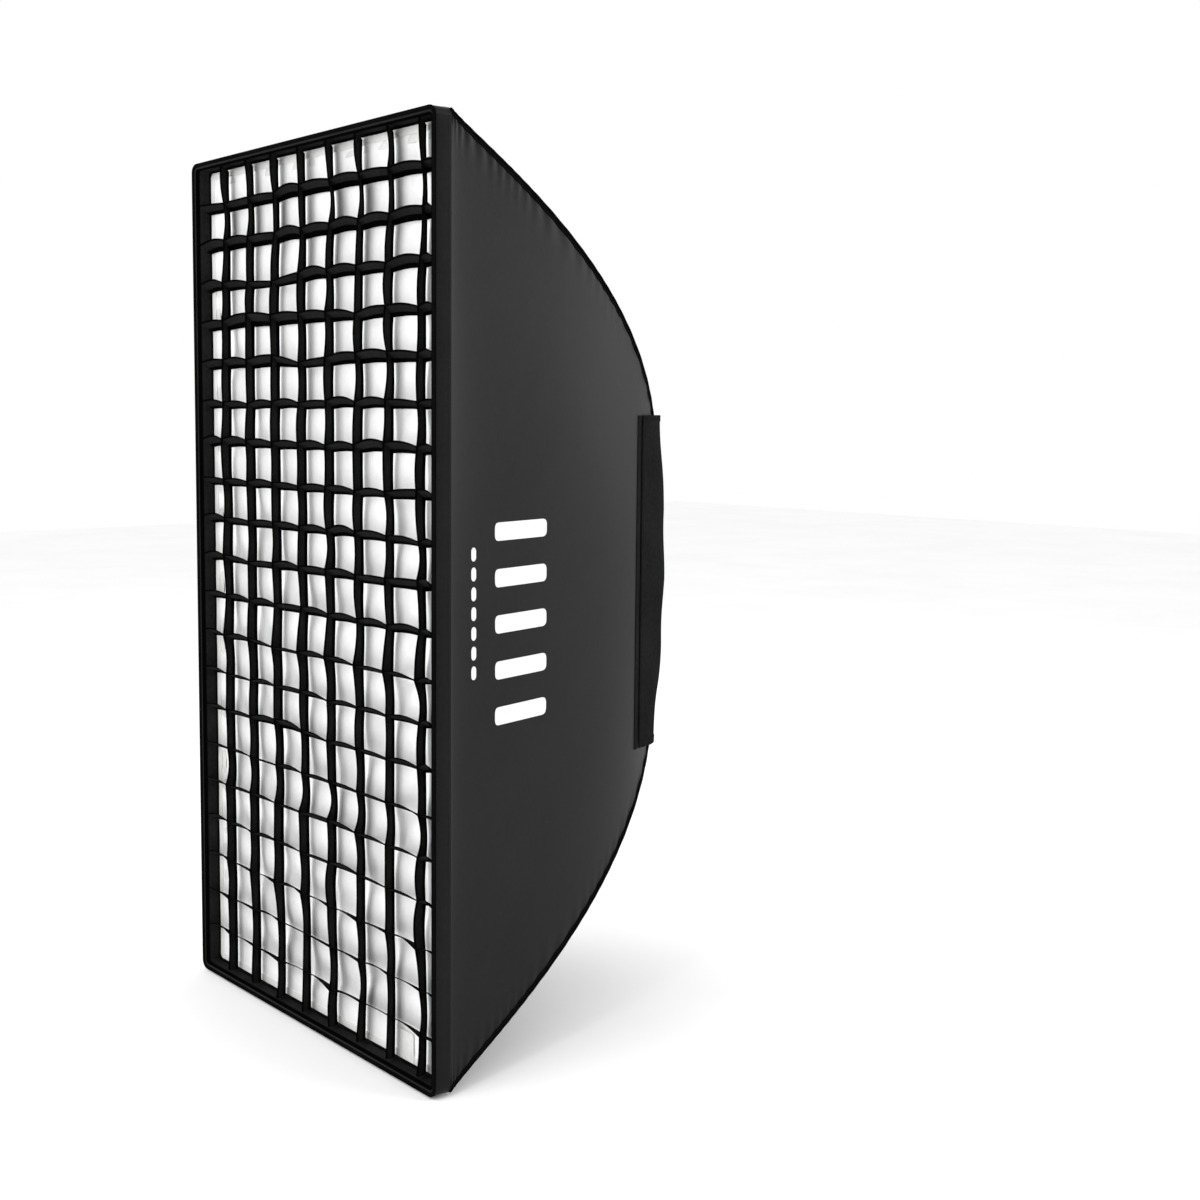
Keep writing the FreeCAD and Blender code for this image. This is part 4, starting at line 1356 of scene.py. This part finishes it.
@dataclass
class BaffleStraps:
    """Elastic straps that hold the inner baffle, and the tabs that anchor them to the panels."""

    shell: Shell
    depth: float = 0.250
    width: float = 0.019
    wall: float = 0.0012
    up: float = 0.250
    across: float = 0.090

    def strap(self, panel: Panel, along: float) -> tuple[bpy.types.Object, bpy.types.Object]:
        """One strap and its anchor.

        Args:
            panel: the panel that it is anchored to.
            along: its place along that panel.

        Returns:
            The strap and the anchor tab.
        """
        low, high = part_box("baffle_hem_band")
        edge = high.x if panel.sideways else high.z
        u = panel.edge.depth_where(self.depth)
        place = panel.skin(np.array([[u]]), np.array([[along]]))[0, 0]
        wall_at = abs(place[0] if panel.sideways else place[2]) - self.shell.wall - 0.0008
        middle = (low.y + high.y) / 2
        tag = f"{panel.name}_{'low' if along < 0 else 'high'}"
        reach = np.linspace(edge - 0.010, wall_at - 0.003, 24)
        t = np.linspace(-0.5, 0.5, 6) * self.width
        gone = (reach - reach[0]) / (reach[-1] - reach[0])
        narrow = 1 - 0.10 * np.sin(np.pi * np.clip(gone * 1.3 - 0.3, 0, 1))
        lift = np.where(reach < edge, (high.y - low.y) / 2 + self.wall, self.wall / 2)
        grid = self.place(panel, reach[:, None], middle + lift[:, None],
                          along + t[None, :] * narrow[:, None])
        strap = sheet(f"strap_{tag}", grid, self.wall, (0, 1, 0))
        s = np.linspace(-0.5, 0.5, 9)
        climb = np.linspace(self.depth - 0.013, self.depth + 0.013, 9)
        span = np.array([panel.edge.depth_where(value) for value in climb])
        base = panel.skin(np.broadcast_to(span[:, None], (9, 9)),
                          along + (s * (self.width + 0.004))[None, :] + np.zeros((9, 1)))
        inward = -surface_normals(base, panel.outward)
        fold = 0.0030 * np.exp(-((climb - self.depth) / 0.004) ** 2)[:, None, None]
        anchor = sheet(f"anchor_{tag}", base + inward * (self.shell.wall + 0.0009 + fold), 0.0008,
                       tuple(-np.array(panel.outward)))
        return strap, anchor

    def place(self, panel: Panel, reach: np.ndarray, y: np.ndarray, along: np.ndarray) -> np.ndarray:
        """Points of a strap that reaches towards a panel."""
        reach, y, along = np.broadcast_arrays(panel.sign * reach, y, along)
        return np.stack([reach, y, along] if panel.sideways else [along, y, reach], axis=-1)

    def build(self) -> None:
        """Makes all eight straps and anchors."""
        pairs = [self.strap(panel, sign * (self.up if panel.sideways else self.across))
                 for panel in self.shell.panels.values() for sign in (1, -1)]
        straps = joined("baffle_elastics", [pair[0] for pair in pairs])
        wear(straps, "softbox", "elastic", ELASTIC, ELASTIC, replaces=("baffle_straps",))
        anchors = joined("baffle_anchor_tabs", [pair[1] for pair in pairs])
        wear(anchors, "softbox", "black_tape", TAPE, TAPE, replaces=("baffle_anchors",))


# ------------------------------------------------------------------ honeycomb grid


@dataclass
class Honeycomb:
    """The slack egg-crate grid of sewn webbing strips."""

    columns: int = 9
    rows: int = 21
    lean_side: float = 0.012
    lean_up: float = 0.0116
    column_pitch: float = 0.069
    column_offset: float = 0.0130
    top_pull: float = 0.014
    wall: float = 0.0012
    samples: int = 8
    layers: int = 4
    kink: float = 0.0040
    arch: float = 0.0030

    def __post_init__(self) -> None:
        """Reads the border's place and throws the dice for the slack, always the same way."""
        low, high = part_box("grid_border")
        self.half_x, self.half_z = high.x - 0.0022, high.z - 0.0022
        self.front, self.rear = low.y + 0.0004, high.y - 0.0004
        dice = np.random.default_rng(SEED)
        shape = (self.columns + 1, self.rows + 1)
        row_kink = dice.normal(0, self.kink, self.rows + 1)[None, :]
        self.shift_x = 0.75 * row_kink + dice.normal(0, self.kink * 0.4, shape)
        self.shift_z = dice.normal(0, 0.0022, shape) + dice.normal(0, 0.0012, self.rows + 1)[None, :]
        self.bow_x = dice.normal(0, 0.0022, (self.columns + 1, self.rows))
        self.bow_x += dice.normal(0, 0.0018, self.rows)[None, :]
        self.rise_z = np.abs(dice.normal(self.arch, 0.0014, (self.columns, self.rows + 1)))
        climb = np.clip((np.arange(self.rows + 1) - self.rows + 6) / 5, 0, 1)
        self.shift_x += self.top_pull * climb[None, :] ** 2
        for table in (self.shift_x, self.shift_z):
            table[[0, -1], :] *= 0.15
            table[:, [0, -1]] *= 0.5

    def line_x(self, column: int) -> float:
        """Where an upright strip stands.

        Args:
            column: the strip's number from the left, where the first and last are the border.

        Returns:
            Its middle line's x.
        """
        if column in (0, self.columns):
            return self.half_x * (1 if column else -1)
        return (column - self.columns / 2) * self.column_pitch + self.column_offset

    def line_z(self, row: int) -> float:
        """Middle line of a level strip or border."""
        return self.half_z * (2 * row / self.rows - 1)

    def crossing(self, column: int, row: int, share: float) -> np.ndarray:
        """Where two strips cross.

        Args:
            column: the upright strip's number.
            row: the level strip's number.
            share: how far back, from 0 at the front edge to 1 at the rear one.

        Returns:
            The point.
        """
        give = 1.0 - 0.75 * share
        lean = 0.5 - share
        x = self.line_x(column) + lean * self.lean_side + give * self.shift_x[column, row]
        z = self.line_z(row) + lean * self.lean_up + give * self.shift_z[column, row]
        x = min(max(x, -self.half_x + 0.0012), self.half_x - 0.0012)
        z = min(max(z, -self.half_z + 0.0012), self.half_z - 0.0012)
        return np.array([x, self.front + (self.rear - self.front) * share, z])

    def strip(self, line: int, upright: bool) -> np.ndarray:
        """One strip.

        Args:
            line: the strip's number.
            upright: whether it stands upright.

        Returns:
            Grid of points, along the strip by across its depth.
        """
        count = self.rows if upright else self.columns
        shares = np.linspace(0, 1, self.layers)
        rows = []
        for cell in range(count):
            steps = np.linspace(0, 1, self.samples, endpoint=cell == count - 1)
            for step in steps:
                row = []
                for share in shares:
                    first, last = (self.crossing(*((line, end) if upright else (end, line)), share)
                                   for end in (cell, cell + 1))
                    point = first + (last - first) * step
                    bulge = math.sin(math.pi * step) * (1.0 - 0.6 * share)
                    if upright:
                        point[0] += self.bow_x[line, cell] * bulge
                    else:
                        point[2] += self.rise_z[cell, line] * bulge
                    point[1] += 0.0006 * math.sin(math.pi * step) * (1 - share)
                    row.append(point)
                rows.append(row)
        return np.array(rows)

    def strips(self, name: str, upright: bool, node: str) -> bpy.types.Object:
        """All the strips of one direction as one piece.

        Args:
            name: the piece's name.
            upright: whether the strips stand upright.
            node: the CAD node that they stand for.

        Returns:
            The piece.
        """
        lines = range(1, self.columns) if upright else range(1, self.rows)
        outward = (1, 0, 0) if upright else (0, 0, 1)
        made = [sheet(f"{name}_{line}", self.strip(line, upright) + np.array(outward) * self.wall / 2,
                      self.wall, outward) for line in lines]
        piece = joined(name, made)
        return wear(piece, "grid", "grid_fabric", GRID_WEBBING, GRID_WEBBING, replaces=(node,))

    def build(self) -> None:
        """Makes the border, the strips and their stitches."""
        self.strips("grid_upright_strips", True, "grid_uprights")
        self.strips("grid_level_strips", False, "grid_crossbars")
        FlatBand("grid_border_band", "grid_border", "grid", "grid_fabric", GRID_WEBBING, 0.002,
                 0.006).build()
        FlatBand("grid_loop_band", "grid_loop_tape", "grid", "black_tape", LOOP_TAPE, 0.0012, 0.007).build()
        bars = []
        for column in range(1, self.columns):
            for row in range(1, self.rows):
                top, bottom = self.crossing(column, row, 0.12), self.crossing(column, row, 0.88)
                bars.append(np.array([top, bottom]) + np.array([self.wall * 0.7, 0, self.wall * 0.7]))
        Stitching(pitch=0.004, length=0.0026).sew("grid_stitches", bars, "grid")


def joined(name: str, parts: Sequence[bpy.types.Object]) -> bpy.types.Object:
    """Joins parts into one object.

    Args:
        name: its name.
        parts: the parts, which are removed.

    Returns:
        The object.
    """
    work = bmesh.new()
    for part in parts:
        work.from_mesh(part.data)
    mesh = bpy.data.meshes.new(name)
    work.to_mesh(mesh)
    work.free()
    for part in parts:
        old = part.data
        bpy.data.objects.remove(part)
        bpy.data.meshes.remove(old)
    return link(bpy.data.objects.new(name, mesh))


# ------------------------------------------------------------------ rear flaps


@dataclass
class RearFlap:
    """A rear flap: bowed cloth on a sewn bead, whose ends droop towards the corner seams."""

    side: Side
    wall: float = 0.0014
    bead: float = 0.0018
    shoulder: tuple[float, float] = (0.152, 0.520)
    corner: tuple[float, float] = (0.138, 0.556)
    free_edge: tuple[float, float] = (0.103, 0.556)
    droop_at: tuple[float, ...] = (-0.238, -0.2, -0.15, -0.1, 0.0, 0.1, 0.238)
    droop: tuple[float, ...] = (0.0215, 0.0155, 0.0095, 0.006, 0.003, 0.004, 0.0130)
    front: float = CAD_LOW.y

    def __post_init__(self) -> None:
        """Reads the hinge line from the CAD flap."""
        low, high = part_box(f"flap_{self.side.name.lower()}")
        self.half = high.z
        self.hinge = (max(abs(low.x), abs(high.x)) - self.bead, low.y + self.bead - self.front)
        self.outward = (self.side.value, 0.6, 0.0)

    def skin(self, u: np.ndarray, z: np.ndarray) -> np.ndarray:
        """Points of the flap's outer face.

        Args:
            u: parameters from 0 at the bead to 1 at the free edge.
            z: heights, of the same shape.

        Returns:
            The points.
        """
        poles = np.array([self.hinge, self.shoulder, self.corner, self.free_edge])
        w = u[..., None]
        curve = ((1 - w) ** 3 * poles[0] + 3 * w * (1 - w) ** 2 * poles[1]
                 + 3 * w * w * (1 - w) * poles[2] + w ** 3 * poles[3])
        share = np.clip((u - 0.12) / 0.6, 0, 1)
        share = share * share * (3 - 2 * share)
        drop = np.interp(z, self.droop_at, self.droop) * share
        ripple = 0.0007 * np.sin(z * 47 + u * 2.0) * np.sin(np.pi * np.clip(u, 0, 1))
        x = curve[..., 0] - 0.588 * drop + ripple
        y = self.front + curve[..., 1] - 0.809 * drop + ripple
        return np.stack([self.side.value * x, y, z], axis=-1)

    def grid(self, u: tuple[float, float], z: tuple[float, float], cells: tuple[int, int],
             lift: float = 0.0) -> np.ndarray:
        """A region of the flap's face as a grid of points, lifted off it.

        Args:
            u: first and last parameter.
            z: lowest and highest place.
            cells: how many cells it has each way.
            lift: how far it stands off the face.

        Returns:
            Grid of points.
        """
        across, up = np.meshgrid(np.linspace(*u, cells[0] + 1), np.linspace(*z, cells[1] + 1),
                                 indexing="ij")
        points = self.skin(across, up)
        return points + surface_normals(points, self.outward) * lift

    def build(self) -> None:
        """Makes the flap, its bead, hems, loop patches and stitching."""
        tag = self.side.name.lower()
        body = f"flap_{tag}"
        face = self.grid((0, 1), (-self.half, self.half), (40, 96))
        cloth = wear(sheet(f"rear_flap_{tag}", face, self.wall, self.outward), body, "shell_fabric",
                     FLAP_NYLON, FLAP_NYLON, replaces=(f"flap_{tag}",))
        turns = np.linspace(0, math.tau, 13)
        bead = np.stack([face[0] + np.array([math.cos(turn), math.sin(turn), 0]) * self.bead
                         for turn in turns], 1)
        wear(tube(f"flap_bead_{tag}", bead), body, "black_tape", FLAP_NYLON)
        edges = [((0.93, 1.0), (-self.half, self.half)), ((0.05, 0.93), (self.half - 0.009, self.half)),
                 ((0.05, 0.93), (-self.half, 0.009 - self.half))]
        hems = [sheet(f"hem_{tag}_{index}", self.grid(u, z, (36, 6) if index else (6, 90), 0.0008),
                      0.0007, self.outward) for index, (u, z) in enumerate(edges)]
        wear(joined(f"flap_hem_{tag}", hems), body, "shell_fabric", FLAP_NYLON, FLAP_NYLON)
        patches = [sheet(f"loop_{tag}_{z[0]}", self.grid((0.885, 0.975), z, (6, 16), -self.wall - 0.0003),
                         0.0012, self.outward) for z in ((0.180, 0.232), (-0.232, -0.180))]
        wear(joined(f"flap_loop_patches_{tag}", patches), body, "black_tape", LOOP_TAPE, LOOP_TAPE,
             replaces=(f"flap_tape_{tag}",))
        inner = self.half - 0.0085
        raised = self.grid((0.03, 0.935), (-inner, inner), (60, 120), 0.0009)
        Stitching().sew(f"flap_stitches_{tag}", [raised[0], raised[-1], raised[:, 0], raised[:, -1]], body)


def tube(name: str, points: np.ndarray) -> bpy.types.Object:
    """A capped tube.

    Args:
        name: its name.
        points: rings of points, where each ring's last point repeats its first.

    Returns:
        The tube.
    """
    rings, around = points.shape[0], points.shape[1] - 1
    gone = running_length(points, 0).mean(axis=1)
    round_it = running_length(points, 1).mean(axis=0)
    faces: list[tuple[int, ...]] = []
    chart: list[tuple[float, float]] = []
    for r in range(rings - 1):
        for c in range(around):
            nc = (c + 1) % around
            faces.append((r * around + c, r * around + nc, (r + 1) * around + nc, (r + 1) * around + c))
            chart += [(round_it[c], gone[r]), (round_it[c + 1], gone[r]),
                      (round_it[c + 1], gone[r + 1]), (round_it[c], gone[r + 1])]
    faces += [tuple(range(around)), tuple(range((rings - 1) * around, rings * around))]
    chart += [(0.0, 0.0)] * (2 * around)
    return face_outwards(mesh_object(name, points[:, :-1].reshape(-1, 3), faces, np.array(chart)))


# ------------------------------------------------------------------ metalwork


class Metalwork:
    """Rods, speed ring, bayonet and lock screw, carried over with their finishes."""

    def build(self) -> None:
        """Dresses every carried-over hard part."""
        WARDROBE.dress_nodes(SPRING_STEEL, *RODS)
        WARDROBE.dress_nodes(BLACK_PLASTIC, "rod_caps", "lock_knob")
        WARDROBE.dress_nodes(PAINTED_RING, "rod_ring")
        WARDROBE.dress_nodes(CAST_ALLOY, "bayonet_insert")
        WARDROBE.dress_nodes(PLATED_STEEL, "retainer_clips", "retainer_screws", "lock_stem")
        WARDROBE.dress_nodes(BRASS, "lock_pad")


# ------------------------------------------------------------------ studio


@dataclass
class Studio:
    """Pale floor, soft lights and the camera."""

    focal_length: float = 49.08
    azimuth: float = 54.02
    elevation: float = 5.63
    distance: float = 2.297
    aim: tuple[float, float, float] = (0.020, -0.379, 0.022)
    shift: tuple[float, float] = (0.14, -0.025)

    def floor(self) -> None:
        """The plain pale floor under the box."""
        mesh = bpy.data.meshes.new("floor")
        z = CAD_LOW.z - 0.003
        mesh.from_pydata([(-9, -9, z), (9, -9, z), (9, 9, z), (-9, 9, z)], [], [(0, 1, 2, 3)])
        floor = link(bpy.data.objects.new("floor", mesh))
        recipe = Recipe("pale_floor")
        place = recipe.coordinates(on_surface=False)
        patches = recipe.noise(place, 0.4)
        recipe.set(Base_Color=recipe.blend(patches, (0.93, 0.93, 0.93), (0.96, 0.96, 0.96)), Roughness=0.75)
        mesh.materials.append(recipe.material)
        floor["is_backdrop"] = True

    def light(self, name: str, place: Sequence[float], aim: Sequence[float], size: tuple[float, float],
              power: float) -> None:
        """One soft rectangular light.

        Args:
            name: its name.
            place: where it hangs.
            aim: the point that it faces.
            size: its width and height.
            power: its power in watts.
        """
        data = bpy.data.lights.new(name, "AREA")
        data.shape = "RECTANGLE"
        data.size, data.size_y = size
        data.energy = power
        lamp = link(bpy.data.objects.new(name, data))
        lamp.location = place
        lamp.rotation_mode = "QUATERNION"
        lamp.rotation_quaternion = (Vector(aim) - Vector(place)).to_track_quat("-Z", "Y")

    def camera(self) -> None:
        """The camera, at its three-quarter view."""
        data = bpy.data.cameras.new("camera")
        data.lens = self.focal_length
        data.sensor_width = 36.0
        data.shift_x, data.shift_y = self.shift
        a, e = math.radians(self.azimuth), math.radians(self.elevation)
        back = Vector((math.sin(a) * math.cos(e), -math.cos(a) * math.cos(e), math.sin(e)))
        camera = link(bpy.data.objects.new("camera", data))
        camera.location = Vector(self.aim) + back * self.distance
        camera.rotation_mode = "QUATERNION"
        camera.rotation_quaternion = (-back).to_track_quat("-Z", "Y")
        bpy.context.scene.camera = camera

    def build(self) -> None:
        """Makes the studio."""
        world = bpy.data.worlds.new("studio_air")
        bpy.context.scene.world = world
        world.use_nodes = True
        world.node_tree.nodes["Background"].inputs["Color"].default_value = (1.0, 1.0, 1.0, 1.0)
        world.node_tree.nodes["Background"].inputs["Strength"].default_value = 1.0
        self.floor()
        self.light("key_light", (0.5, -3.4, 1.5), (0, -0.5, 0), (1.8, 2.2), 62)
        self.light("fill_light", (-2.6, -2.6, 1.6), (0, -0.5, 0), (2.4, 2.4), 30)
        self.light("rear_light", (0.95, 2.9, 1.1), (0.2, -0.2, 0.1), (0.7, 2.4), 30)
        self.light("high_light", (3.2, 1.6, 3.0), (0.3, -0.3, 0.5), (1.2, 1.2), 30)
        bpy.context.scene.view_settings.view_transform = "Standard"
        self.camera()


def main() -> None:
    """Builds every sub-assembly in order."""
    logging.basicConfig(level=logging.INFO, format="%(name)s: %(message)s")
    shell = Shell()
    parts: list[tuple[str, Callable[[], None]]] = [
        ("studio", Studio().build),
        ("shell", shell.build),
        ("lip", Lip().build),
        ("front diffuser", DiffusionCloth("front_diffuser_cloth", "diffuser_cloth", "diffuser_hem_band",
                                          "front_diffuser", 1.0).build),
        ("diffuser tab", PullTab().build),
        ("inner baffle", DiffusionCloth("inner_baffle_cloth", "inner_baffle", "baffle_hem_band",
                                        "softbox", 1.0, cell=0.02).build),
        ("baffle straps", BaffleStraps(shell).build),
        ("honeycomb", Honeycomb().build),
        ("right flap", RearFlap(Side.RIGHT).build),
        ("left flap", RearFlap(Side.LEFT).build),
        ("metalwork", Metalwork().build),
    ]
    for name, build in parts:
        build()
        log.info("built: %s", name)


if __name__ == "__main__":
    main()
